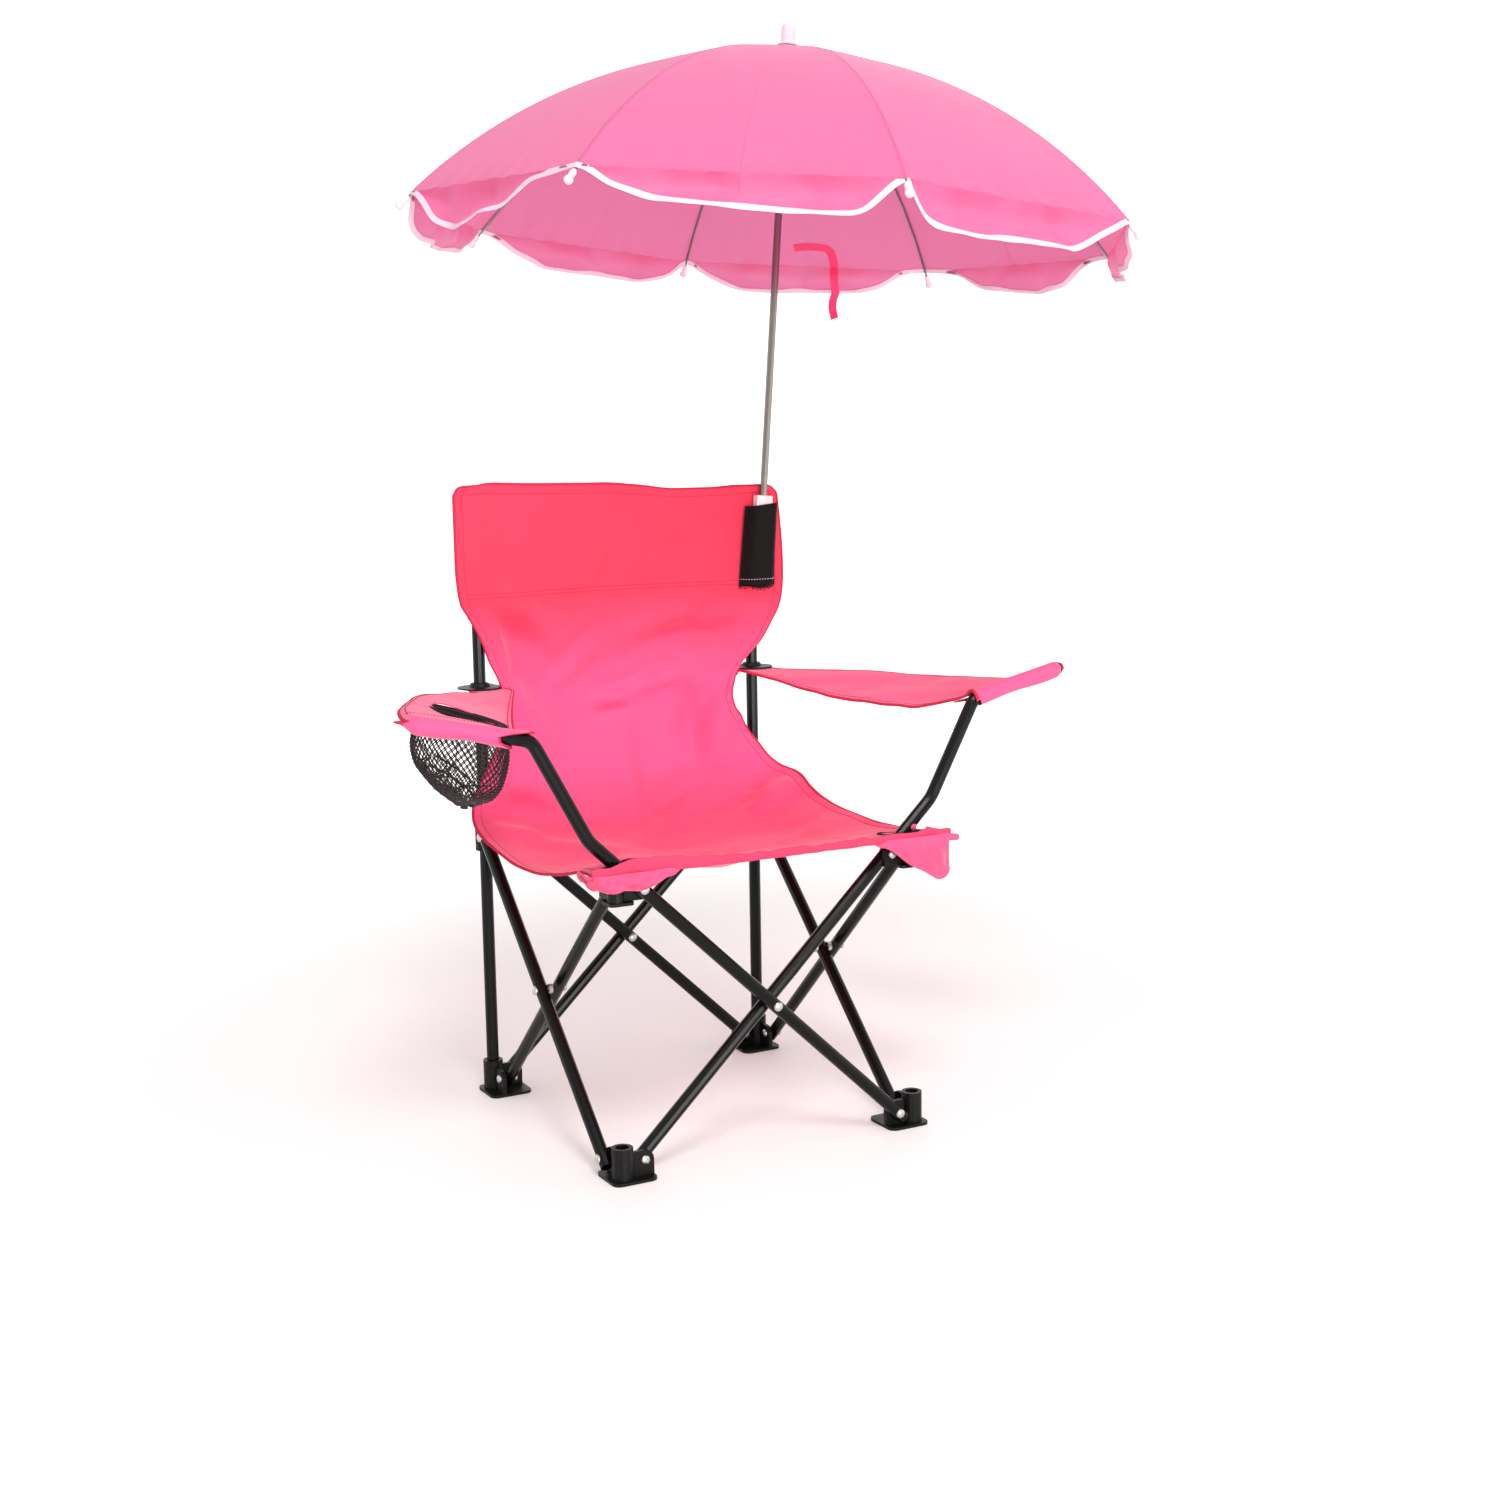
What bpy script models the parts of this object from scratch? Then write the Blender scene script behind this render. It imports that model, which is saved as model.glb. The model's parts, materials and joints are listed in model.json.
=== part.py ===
"""A child's folding chair that carries its own umbrella, in metres, +Z up.

The chair faces -Y. Eight equal cross tubes form four X frames between four feet and four hubs, so the
chair folds to a bundle. The back, the seat and the arms are sewn cloth, and the umbrella's handle
stands in a webbing pocket on the back.
"""

import math

import bmesh
import bpy
from mathutils import Matrix, Vector

# Clearances and general sizes
GAP = 0.0003
OVERRUN = 0.002
ROUND_SIDES = 16
TUBE_SIDES = 12
SMALL_SIDES = 8

# Frame
CORNER = 0.1632
PIVOT_INSET = 0.023
FOOT_PIVOT = 0.018
HUB_PIVOT = 0.2834
TUBE_RADIUS = 0.0065
TUBE_WALL = 0.001
TUBE_OVERHANG = 0.010
WEB_THICKNESS = 0.0042
WEB_RADIUS = 0.0095
RIVET_RADIUS = 0.002
RIVET_HEAD_RADIUS = 0.0046
RIVET_HEAD_HEIGHT = 0.0022
DOME_SHARE = 0.6
RIM_SHARE = 0.8
DRILL_SLACK = 0.0003
SPACER_WALL = 0.003

# Arm ends of the two front tubes that run up past their hubs
ARM_STRAIGHT = 0.073
ARM_RISE_LENGTH = 0.1115
ARM_RISE_ANGLE = math.radians(61.5)
ARM_BAR_LENGTH = 0.108
ARM_BAR_ANGLE = math.radians(12.3)
ARM_LOW_BEND = 0.045
ARM_TOP_BEND = 0.019
BEND_STEPS = 4

# Feet
PLATE_THICKNESS = 0.003
PLATE_OUTWARD = 0.014
PLATE_ROUND = 0.008
SOCKET_RADIUS = 0.0105
SOCKET_TOP = 0.034
WEB_REACH = 0.0095

# Hubs
REAR_HUB_DOWN = 0.018
REAR_HUB_UP = 0.0115
HUB_WEB_DOWN = 0.012
HUB_WEB_UP = 0.0095
HUB_BOSS_RADIUS = 0.008
HUB_BOSS_UP = 0.001
HUB_PLATE_IN = 0.016
HUB_PLATE_OUT = 0.009

# Rear posts and arm collars
POST_TOP = 0.636
COLLAR_HEIGHT = 0.4385
COLLAR_RADIUS = 0.0238
COLLAR_THICKNESS = 0.0022
COLLAR_NECK_RADIUS = 0.0095
COLLAR_NECK_HEIGHT = 0.0035

# Cloth
CLOTH = 0.0016
SLEEVE_CLEAR = 0.0006
BACK_TOP = 0.647
BACK_HOLLOW = 0.030
SLEEVE_BOTTOM = 0.512
BACK_COLUMNS = 16
BACK_ROWS = 14
SEAM_MIDDLE = 0.285
SEAM_RISE = 0.040
SEAT_FRONT = 0.183
SEAT_REAR = 0.146
SEAT_ABOVE_HUB = 0.0151
SEAT_HALF_WIDTH = 0.1850
SEAT_SAG = 0.026
SEAT_EDGE_SAG = 0.010
SEAT_HELD_SHARE = 0.11
SEAT_FULLNESS = 0.8
SEAT_FOLD_SHARE = 0.22
SEAT_COLUMNS = 14
SEAT_ROWS = 14
HEM_DROP = 0.007
POCKET_DROP = 0.038
POCKET_FLARE = 0.007
SLIT_LENGTH = 0.046
SLIT_WIDTH = 0.0144

# Arms
ARM_REAR_INNER = 0.0240
ARM_REAR_OUTER = 0.0265
ARM_REAR_END = 0.0285
ARM_SAG = 0.007
ARM_INNER_SAG = 0.017
ARM_INNER_OVERHANG = 0.022
ARM_NARROW_SHARE = 0.82
ARM_INNER_POWER = 1.3
ARM_OUTER_POWER = 1.9
ARM_ROWS = 8
HEM_WALL = 0.0014
HEM_CLEAR = 0.0006
HEM_TIP = 0.004
ARM_FOLD_ANGLE = math.radians(50.1)
ARM_FOLDED_SHARE = 0.497
CUP_RADIUS = 0.035
CUP_FROM_FRONT = 0.108
CUP_ACROSS_SHARE = 0.45
NET_RADIUS = 0.047
NET_NECK = 0.007
NET_RISE = 0.0012
NET_DEPTH = 0.080
NET_BOTTOM_RADIUS = 0.018
NET_THICKNESS = 0.0012
NET_SIDES = 20

# Umbrella
SHAFT_LEAN = math.radians(4.5)
SHAFT_RADIUS = 0.004
SHAFT_FOOT_X = 0.1664
POCKET_ABOVE_COLLAR = 0.087
HANDLE_WIDTH = 0.020
HANDLE_DEPTH = 0.011
HANDLE_LENGTH = 0.098
HANDLE_BORE = 0.075
UMBRELLA_POCKET_TOP_WIDTH = 0.035
UMBRELLA_POCKET_BOTTOM_WIDTH = 0.043
WEBBING = 0.0015
HANDLE_SHOWING = 0.012
CROWN_ABOVE_FOOT = 0.549
CROWN_RADIUS = 0.0105
CROWN_HEIGHT = 0.013
NOTCH_RADIUS = 0.0075
FERRULE_RADIUS = 0.0078
FERRULE_HEIGHT = 0.024
FERRULE_SKIRT_RADIUS = 0.011
FERRULE_SKIRT_HEIGHT = 0.0025
RIB_COUNT = 8
RIB_RADIUS = 0.0014
RIB_REACH = 0.396
RIB_DROP = 0.190
RIB_BULGE = math.radians(22.0)
RIB_PHASE = math.radians(-12.5)
RIB_STEPS = 8
RIB_SIDES_RESOLUTION = 1
TIP_RADIUS = 0.0028
TIP_LENGTH = 0.009
STRETCHER_SHARE = 0.40
STRETCHER_RADIUS = 0.0012
RUNNER_RADIUS = NOTCH_RADIUS - STRETCHER_RADIUS - GAP
RUNNER_LENGTH = 0.034
RUNNER_FLANGE_HEIGHT = 0.003
CANOPY_THICKNESS = 0.0007
CANOPY_CLEAR = 0.0007
CANOPY_SHARE = 0.984
CANOPY_PER_GORE = 6
HEM_DEPTH = 0.040
HEM_RINGS = 2
STRAP_WIDTH = 0.0095
STRAP_THICKNESS = 0.0008
STRAP_HIGH_SHARE = 0.86
STRAP_STEPS = 3
STRAP_GORE = 5
STRAP_ACROSS_SHARE = 0.38
STRAP_HANG = 0.028

# Derived places
LAYER = WEB_THICKNESS / 2 + GAP + TUBE_RADIUS
PIVOT_SPAN = CORNER - PIVOT_INSET
TUBE_RISE = HUB_PIVOT - FOOT_PIVOT
TUBE_ANGLE = math.atan2(TUBE_RISE, 2 * PIVOT_SPAN)
DRILL_RADIUS = RIVET_RADIUS + DRILL_SLACK
SEAT_HEIGHT = HUB_PIVOT + SEAT_ABOVE_HUB
COLLAR_TOP = COLLAR_HEIGHT + COLLAR_THICKNESS + COLLAR_NECK_HEIGHT
POCKET_FOOT = COLLAR_TOP + POCKET_ABOVE_COLLAR
SHAFT_FOOT_HEIGHT = POCKET_FOOT + WEBBING + GAP + HANDLE_LENGTH - HANDLE_BORE

CORNERS = {
    "front_right": (1, -1, 0),
    "rear_right": (1, 1, math.pi / 2),
    "rear_left": (-1, 1, math.pi),
    "front_left": (-1, -1, -math.pi / 2),
}

# Each cross tube: the direction its frame runs in, its side of the chair, its layer and where it climbs to
CROSS_TUBES = {
    "front_tube_to_left_arm": ("x", -1, -1, -1),
    "front_tube_to_right_arm": ("x", -1, 1, 1),
    "rear_tube_inner": ("x", 1, -1, -1),
    "rear_tube_outer": ("x", 1, 1, 1),
    "left_tube_outer": ("y", -1, -1, 1),
    "left_tube_inner": ("y", -1, 1, -1),
    "right_tube_inner": ("y", 1, -1, 1),
    "right_tube_outer": ("y", 1, 1, -1),
}
CENTRE_RIVETS = {
    "front_tube_to_left_arm": "rivet_front_cross",
    "rear_tube_inner": "rivet_rear_cross",
    "left_tube_inner": "rivet_left_cross",
    "right_tube_outer": "rivet_right_cross",
}

BLACK_PAINT = ((0.010, 0.010, 0.011), 0.28, 0.0)
BLACK_PLASTIC = ((0.014, 0.014, 0.015), 0.45, 0.0)
ZINC = ((0.62, 0.62, 0.63), 0.35, 1.0)
CHROME = ((0.72, 0.72, 0.74), 0.15, 1.0)
CHAIR_CLOTH = ((0.90, 0.045, 0.145), 0.85, 0.0)
CANOPY_CLOTH = ((0.95, 0.16, 0.40), 0.80, 0.0)
STRAP_CLOTH = ((0.90, 0.040, 0.130), 0.80, 0.0)
BLACK_WEBBING = ((0.012, 0.013, 0.013), 0.90, 0.0)
BLACK_NET = ((0.015, 0.012, 0.013), 0.80, 0.0)
WHITE_PLASTIC = ((0.86, 0.80, 0.81), 0.40, 0.0)


# Scene helpers


def clear_scene():
    for obj in list(bpy.data.objects):
        bpy.data.objects.remove(obj, do_unlink=True)


def new_collection(name):
    collection = bpy.data.collections.new(name)
    bpy.context.scene.collection.children.link(collection)
    return collection


def material(name, look):
    colour, roughness, metallic = look
    made = bpy.data.materials.get(name) or bpy.data.materials.new(name)
    made.use_nodes = True
    shader = made.node_tree.nodes["Principled BSDF"]
    shader.inputs["Base Color"].default_value = (*colour, 1.0)
    shader.inputs["Roughness"].default_value = roughness
    shader.inputs["Metallic"].default_value = metallic
    return made


def new_object(name, mesh, collection):
    obj = bpy.data.objects.new(name, mesh)
    collection.objects.link(obj)
    return obj


def from_bmesh(name, shape, collection):
    bmesh.ops.recalc_face_normals(shape, faces=shape.faces)
    mesh = bpy.data.meshes.new(name)
    shape.to_mesh(mesh)
    shape.free()
    return new_object(name, mesh, collection)


def evaluated_mesh(obj):
    """The mesh of an object with its modifiers applied, with loose caps welded."""
    bpy.context.view_layer.update()
    graph = bpy.context.evaluated_depsgraph_get()
    mesh = bpy.data.meshes.new_from_object(obj.evaluated_get(graph))
    shape = bmesh.new()
    shape.from_mesh(mesh)
    bmesh.ops.remove_doubles(shape, verts=shape.verts, dist=GAP / 30)
    shape.to_mesh(mesh)
    shape.free()
    return mesh


def as_mesh(obj, collection):
    """Replaces a curve, or an object with modifiers, by the mesh it evaluates to."""
    name = obj.name
    matrix = obj.matrix_world.copy()
    mesh = evaluated_mesh(obj)
    bpy.data.objects.remove(obj, do_unlink=True)
    made = new_object(name, mesh, collection)
    made.matrix_world = matrix
    return made


def smooth(obj, angle=math.radians(35)):
    obj.data.shade_smooth()
    obj.data.set_sharp_from_angle(angle=angle)


def boolean(obj, other, operation, collection_of_cutters):
    other.hide_render = True
    other.display_type = "WIRE"
    for used in list(other.users_collection):
        used.objects.unlink(other)
    collection_of_cutters.objects.link(other)
    modifier = obj.modifiers.new(operation.title() + " " + other.name, "BOOLEAN")
    modifier.operation = operation
    modifier.solver = "EXACT"
    modifier.object = other


def cylinder(name, radius, start, end, collection, sides=ROUND_SIDES):
    """A solid cylinder between two points."""
    start, end = Vector(start), Vector(end)
    shape = bmesh.new()
    bmesh.ops.create_cone(
        shape, cap_ends=True, segments=sides, radius1=radius, radius2=radius, depth=(end - start).length
    )
    turn = (end - start).to_track_quat("Z", "Y").to_matrix().to_4x4()
    bmesh.ops.transform(shape, matrix=Matrix.Translation((start + end) / 2) @ turn, verts=shape.verts)
    return from_bmesh(name, shape, collection)


def box(name, low, high, collection):
    low, high = Vector(low), Vector(high)
    shape = bmesh.new()
    bmesh.ops.create_cube(shape, size=1.0)
    sizes = Matrix.Diagonal((*(high - low), 1.0))
    bmesh.ops.transform(shape, matrix=Matrix.Translation((low + high) / 2) @ sizes, verts=shape.verts)
    return from_bmesh(name, shape, collection)


def turned(name, profile, start, direction, collection, sides=ROUND_SIDES):
    """A profile of (radius, height) points, top to bottom down its outer side, screwed about an axis."""
    mesh = bpy.data.meshes.new(name)
    points = [(radius, 0.0, height) for radius, height in profile]
    edges = [(i, i + 1) for i in range(len(points) - 1)]
    if profile[0][0] > 0.0:
        edges.append((len(points) - 1, 0))
    mesh.from_pydata(points, edges, [])
    obj = new_object(name, mesh, collection)
    screw = obj.modifiers.new("Turn", "SCREW")
    screw.steps = sides
    screw.render_steps = sides
    screw.use_merge_vertices = True
    screw.merge_threshold = GAP / 30
    turn = Vector(direction).to_track_quat("Z", "Y").to_matrix().to_4x4()
    obj.matrix_world = Matrix.Translation(start) @ turn
    return as_mesh(obj, collection)


def outline_plate(name, points, thickness, collection):
    """A closed outline in its own XY plane, thickened evenly to both sides."""
    curve = bpy.data.curves.new(name, "CURVE")
    curve.dimensions = "2D"
    curve.fill_mode = "BOTH"
    curve.extrude = thickness / 2
    spline = curve.splines.new("POLY")
    spline.points.add(len(points) - 1)
    for point, (x, y) in zip(spline.points, points):
        point.co = (x, y, 0.0, 1.0)
    spline.use_cyclic_u = True
    return new_object(name, curve, collection)


def arc(centre, radius, start, end, steps):
    return [
        (
            centre[0] + radius * math.cos(start + (end - start) * i / steps),
            centre[1] + radius * math.sin(start + (end - start) * i / steps),
        )
        for i in range(steps + 1)
    ]


def rounded_path(points, radii, steps):
    """Straight runs whose inner corners are replaced by arcs of the given radii."""
    path = [Vector(points[0])]
    for before, corner, after, radius in zip(points, points[1:], points[2:], radii):
        corner = Vector(corner)
        back = (Vector(before) - corner).normalized()
        ahead = (Vector(after) - corner).normalized()
        half = back.angle(ahead) / 2
        centre = corner + (back + ahead).normalized() * (radius / math.sin(half))
        first = (corner + back * (radius / math.tan(half)) - centre).normalized()
        last = (corner + ahead * (radius / math.tan(half)) - centre).normalized()
        for i in range(steps + 1):
            path.append(centre + first.slerp(last, i / steps) * radius)
    path.append(Vector(points[-1]))
    return path


def curve_tube(name, path, radius, resolution, collection, caps):
    curve = bpy.data.curves.new(name, "CURVE")
    curve.dimensions = "3D"
    curve.bevel_depth = radius
    curve.bevel_resolution = resolution
    curve.use_fill_caps = caps
    spline = curve.splines.new("POLY")
    spline.points.add(len(path) - 1)
    for point, place in zip(spline.points, path):
        point.co = (*place, 1.0)
    return new_object(name, curve, collection)


class Assembly:
    """The collections, and the empties that stand on each moving body's joint axis."""

    def __init__(self):
        self.parts = new_collection("umbrella_chair")
        self.cutters = new_collection("cutters")
        self.root = new_object("chair_frame", None, self.parts)
        self.pivots = {}

    def pivot(self, body, place, parent=None):
        empty = new_object("pivot_" + body, None, self.parts)
        empty.parent = self.pivots[parent] if parent else self.root
        bpy.context.view_layer.update()
        empty.matrix_world = Matrix.Translation(place)
        bpy.context.view_layer.update()
        self.pivots[body] = empty

    def carry(self, obj, body, look_name, look):
        """Gives an object its material and hangs it on its body's pivot, with its origin there."""
        obj.data.materials.clear()
        obj.data.materials.append(material(look_name, look))
        matrix = obj.matrix_world.copy()
        if body is None:
            obj.parent = self.root
            return obj
        pivot = self.pivots[body]
        place = Matrix.Translation(pivot.matrix_world.translation)
        obj.data.transform(place.inverted() @ matrix)
        obj.parent = pivot
        obj.matrix_world = place
        for modifier in obj.modifiers:
            if modifier.type == "BOOLEAN" and modifier.object:
                modifier.object.parent = pivot
                modifier.object.matrix_parent_inverse = place.inverted()
        return obj


# Frame geometry


def frame_point(run, side, layer, along, height, offset=0.0):
    """A point of one of the four X frames: along its run, in its layer beside the webs."""
    across = side * CORNER + layer * (LAYER + offset)
    return Vector((along, across, height)) if run == "x" else Vector((across, along, height))


def across_axis(run):
    return Vector((0.0, 1.0, 0.0)) if run == "x" else Vector((1.0, 0.0, 0.0))


def tube_ends(name):
    run, side, layer, climb = CROSS_TUBES[name]
    low = frame_point(run, side, layer, -climb * PIVOT_SPAN, FOOT_PIVOT)
    high = frame_point(run, side, layer, climb * PIVOT_SPAN, HUB_PIVOT)
    return low, high


def arm_path(name):
    """Corners of a front tube's line from its lower end to the bar that holds the arm's front hem."""
    low, high = tube_ends(name)
    outward = Vector((CROSS_TUBES[name][3], 0.0, 0.0))
    up = Vector((0.0, 0.0, 1.0))
    along = (high - low).normalized()
    rise = outward * math.cos(ARM_RISE_ANGLE) + up * math.sin(ARM_RISE_ANGLE)
    bar = outward * math.cos(ARM_BAR_ANGLE) + up * math.sin(ARM_BAR_ANGLE)
    knee = high + along * ARM_STRAIGHT
    shoulder = knee + rise * ARM_RISE_LENGTH
    return [low - along * TUBE_OVERHANG, knee, shoulder, shoulder + bar * ARM_BAR_LENGTH]


def rounded_square(low, high, radius, steps):
    quarter = math.pi / 2
    points = arc((high - radius, high - radius), radius, 0.0, quarter, steps)
    points += arc((low + radius, high - radius), radius, quarter, 2 * quarter, steps)
    points += arc((low + radius, low + radius), radius, 2 * quarter, 3 * quarter, steps)
    points += arc((high - radius, low + radius), radius, 3 * quarter, 4 * quarter, steps)
    return points


def web(name, bottom, pivot_height, top, collection):
    """A standing web from the corner axis to past its pivot, in the plane of -X and +Z, round at its end."""
    end = PIVOT_INSET + WEB_REACH - WEB_RADIUS
    points = [(0.0, bottom), (0.0, top), (-end, top)]
    shoulder = min(WEB_RADIUS, top - pivot_height + WEB_RADIUS)
    centre = (-end, top - shoulder)
    points += arc(centre, shoulder, math.pi / 2, math.pi, BEND_STEPS)[1:]
    points.append((-end - shoulder, bottom))
    made = as_mesh(outline_plate(name, points, WEB_THICKNESS, collection), collection)
    made.data.transform(Matrix.Rotation(math.pi / 2, 4, "X"))
    return made


def corner_mould(name, assembly, pieces, holes):
    """Unions the pieces of a moulding, drills it and returns the finished mesh."""
    body = pieces[0]
    for other in pieces[1:]:
        boolean(body, other, "UNION", assembly.cutters)
    for hole in holes:
        boolean(body, hole, "DIFFERENCE", assembly.cutters)
    mesh = evaluated_mesh(body)
    mesh.name = name
    for obj in (*pieces, *holes):
        bpy.data.objects.remove(obj, do_unlink=True)
    return mesh


def both_webs(name, bottom, pivot_height, top, collection):
    first = web(name + "_x", bottom, pivot_height, top, collection)
    second = web(name + "_y", bottom, pivot_height, top, collection)
    second.data.transform(Matrix.Rotation(-math.pi / 2, 4, "Z"))
    return [first, second]


def pivot_drills(height, collection):
    reach = SOCKET_RADIUS + OVERRUN
    along_y = cylinder(
        "drill_y", DRILL_RADIUS, (-PIVOT_INSET, -reach, height), (-PIVOT_INSET, reach, height), collection, SMALL_SIDES
    )
    along_x = cylinder(
        "drill_x", DRILL_RADIUS, (-reach, PIVOT_INSET, height), (reach, PIVOT_INSET, height), collection, SMALL_SIDES
    )
    return [along_y, along_x]


def foot_mesh(assembly):
    parts = assembly.parts
    inward = PIVOT_INSET + WEB_REACH
    outline = [(-x, y) for x, y in rounded_square(-PLATE_OUTWARD, inward, PLATE_ROUND, BEND_STEPS)]
    plate = as_mesh(outline_plate("foot_plate", outline, PLATE_THICKNESS, parts), parts)
    plate.data.transform(Matrix.Translation((0.0, 0.0, PLATE_THICKNESS / 2)))
    low = PLATE_THICKNESS / 2
    socket = cylinder("foot_socket", SOCKET_RADIUS, (0, 0, low), (0, 0, SOCKET_TOP), parts)
    webs = both_webs("foot_web", low, FOOT_PIVOT, FOOT_PIVOT + WEB_RADIUS, parts)
    bore = cylinder(
        "foot_bore",
        TUBE_RADIUS + GAP,
        (0, 0, PLATE_THICKNESS),
        (0, 0, SOCKET_TOP + OVERRUN),
        parts,
    )
    return corner_mould("foot", assembly, [plate, socket, *webs], [*pivot_drills(FOOT_PIVOT, parts), bore])


def rear_hub_mesh(assembly):
    parts = assembly.parts
    low, high = HUB_PIVOT - REAR_HUB_DOWN, HUB_PIVOT + REAR_HUB_UP
    ring = cylinder("hub_ring", SOCKET_RADIUS, (0, 0, low), (0, 0, high), parts)
    webs = both_webs("hub_web", HUB_PIVOT - HUB_WEB_DOWN, HUB_PIVOT, HUB_PIVOT + HUB_WEB_UP, parts)
    bore = cylinder(
        "hub_bore", TUBE_RADIUS + GAP, (0, 0, low - OVERRUN), (0, 0, high + OVERRUN), parts
    )
    return corner_mould("rear_hub", assembly, [ring, *webs], [*pivot_drills(HUB_PIVOT, parts), bore])


def front_hub_mesh(assembly):
    parts = assembly.parts
    low = HUB_PIVOT - HUB_WEB_DOWN
    outline = [(-x, y) for x, y in rounded_square(-HUB_PLATE_OUT, HUB_PLATE_IN, HUB_BOSS_UP * 4, 2)]
    plate = as_mesh(outline_plate("hub_plate", outline, PLATE_THICKNESS, parts), parts)
    plate.data.transform(Matrix.Translation((0.0, 0.0, low - PLATE_THICKNESS / 2 + GAP)))
    boss = cylinder(
        "hub_boss", HUB_BOSS_RADIUS, (0, 0, low - PLATE_THICKNESS / 2), (0, 0, HUB_PIVOT + HUB_BOSS_UP), parts
    )
    webs = both_webs("hub_web", low, HUB_PIVOT, HUB_PIVOT + HUB_WEB_UP, parts)
    return corner_mould("front_hub", assembly, [boss, plate, *webs], pivot_drills(HUB_PIVOT, parts))


def make_mouldings(assembly):
    foot = foot_mesh(assembly)
    rear_hub = rear_hub_mesh(assembly)
    front_hub = front_hub_mesh(assembly)
    for corner, (x, y, turn) in CORNERS.items():
        hub = front_hub if y < 0 else rear_hub
        for kind, mesh in (("foot", foot), ("hub", hub)):
            obj = new_object(kind + "_" + corner, mesh.copy(), assembly.parts)
            obj.matrix_world = Matrix.Translation((x * CORNER, y * CORNER, 0.0)) @ Matrix.Rotation(turn, 4, "Z")
            smooth(obj)
            assembly.carry(obj, obj.name, "black_plastic", BLACK_PLASTIC)


def drill_through(obj, name, run, places, assembly):
    across = across_axis(run) * (TUBE_RADIUS + OVERRUN)
    for number, place in enumerate(places):
        drill = cylinder(
            f"{name}_drill_{number}", DRILL_RADIUS, place - across, place + across, assembly.parts, SMALL_SIDES
        )
        boolean(obj, drill, "DIFFERENCE", assembly.cutters)


def make_cross_tube(name, assembly):
    """A cross tube with the two rivets that are set in it, drilled where it crosses its partner."""
    run, _, layer, _ = CROSS_TUBES[name]
    low, high = tube_ends(name)
    along = (high - low).normalized()
    if name.endswith("arm"):
        path = rounded_path(arm_path(name), (ARM_LOW_BEND, ARM_TOP_BEND), BEND_STEPS)
    else:
        path = [low - along * TUBE_OVERHANG, high + along * TUBE_OVERHANG]
    tube = hollow_tube(name, path, assembly)
    axis = across_axis(run) * layer
    for label, place in (("low", low), ("high", high)):
        pin = rivet(
            f"{name}_{label}", place - axis * LAYER, axis, LAYER + TUBE_RADIUS, WEB_THICKNESS / 2, -GAP, assembly
        )
        boolean(tube, pin, "UNION", assembly.cutters)
    drill_through(tube, name, run, [(low + high) / 2], assembly)
    tube = as_mesh(tube, assembly.parts)
    smooth(tube)
    assembly.carry(tube, name, "black_paint", BLACK_PAINT)


def hollow_tube(name, path, assembly):
    """A round tube along a path, open at both ends, with its wall inside the outer radius."""
    tube = as_mesh(curve_tube(name, path, TUBE_RADIUS, TUBE_SIDES // 2 - 2, assembly.parts, False), assembly.parts)
    wall = tube.modifiers.new("Wall", "SOLIDIFY")
    wall.thickness = TUBE_WALL
    wall.offset = -1.0
    wall.use_even_offset = True
    return as_mesh(tube, assembly.parts)


def rivet(name, place, axis, near, far, clearance, assembly, shoulder=0.0):
    """A rivet along an axis, its dome head past near and its flat head past far, perhaps with a shoulder."""
    head, shank = RIVET_HEAD_RADIUS, RIVET_RADIUS
    top = near + clearance
    bottom = -far - GAP
    profile = [
        (0.0, top + RIVET_HEAD_HEIGHT),
        (head * DOME_SHARE, top + RIVET_HEAD_HEIGHT * RIM_SHARE),
        (head, top),
        (shank, top),
    ]
    if shoulder:
        half = WEB_THICKNESS / 2
        profile += [(shank, half), (shoulder, half), (shoulder, -half), (shank, -half)]
    profile += [
        (shank, bottom),
        (head * RIM_SHARE, bottom),
        (head * DOME_SHARE, bottom - RIVET_HEAD_HEIGHT * DOME_SHARE),
        (0.0, bottom - RIVET_HEAD_HEIGHT * DOME_SHARE),
    ]
    return turned(name, profile, place, axis, assembly.parts, SMALL_SIDES)


def make_centre_rivet(name, assembly):
    """The rivet that two crossed tubes turn on, with a shoulder that keeps them a web's thickness apart."""
    run, _, layer, _ = CROSS_TUBES[name]
    low, high = tube_ends(name)
    axis = across_axis(run) * layer
    reach = LAYER + TUBE_RADIUS
    pin = rivet(
        CENTRE_RIVETS[name],
        (low + high) / 2 - axis * LAYER,
        axis,
        reach,
        reach,
        GAP,
        assembly,
        RIVET_RADIUS + SPACER_WALL,
    )
    smooth(pin)
    assembly.carry(pin, name, "zinc", ZINC)


def make_posts(assembly):
    for side, body in ((-1, "foot_rear_left"), (1, "foot_rear_right")):
        label = "left" if side < 0 else "right"
        base = Vector((side * CORNER, CORNER, PLATE_THICKNESS + GAP))
        top = Vector((side * CORNER, CORNER, POST_TOP))
        post = hollow_tube("rear_post_" + label, [base, top], assembly)
        smooth(post)
        assembly.carry(post, body, "black_paint", BLACK_PAINT)
        bore = TUBE_RADIUS + GAP
        neck_top = COLLAR_THICKNESS + COLLAR_NECK_HEIGHT
        profile = [
            (COLLAR_NECK_RADIUS, neck_top),
            (COLLAR_NECK_RADIUS + COLLAR_THICKNESS, COLLAR_THICKNESS),
            (COLLAR_RADIUS, COLLAR_THICKNESS * 0.7),
            (COLLAR_RADIUS, 0.0),
            (bore, 0.0),
            (bore, neck_top),
        ]
        place = (side * CORNER, CORNER, COLLAR_HEIGHT)
        collar = turned("arm_collar_" + label, profile, place, (0, 0, 1), assembly.parts, ROUND_SIDES)
        smooth(collar)
        assembly.carry(collar, body, "black_plastic", BLACK_PLASTIC)


# Cloth


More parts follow.
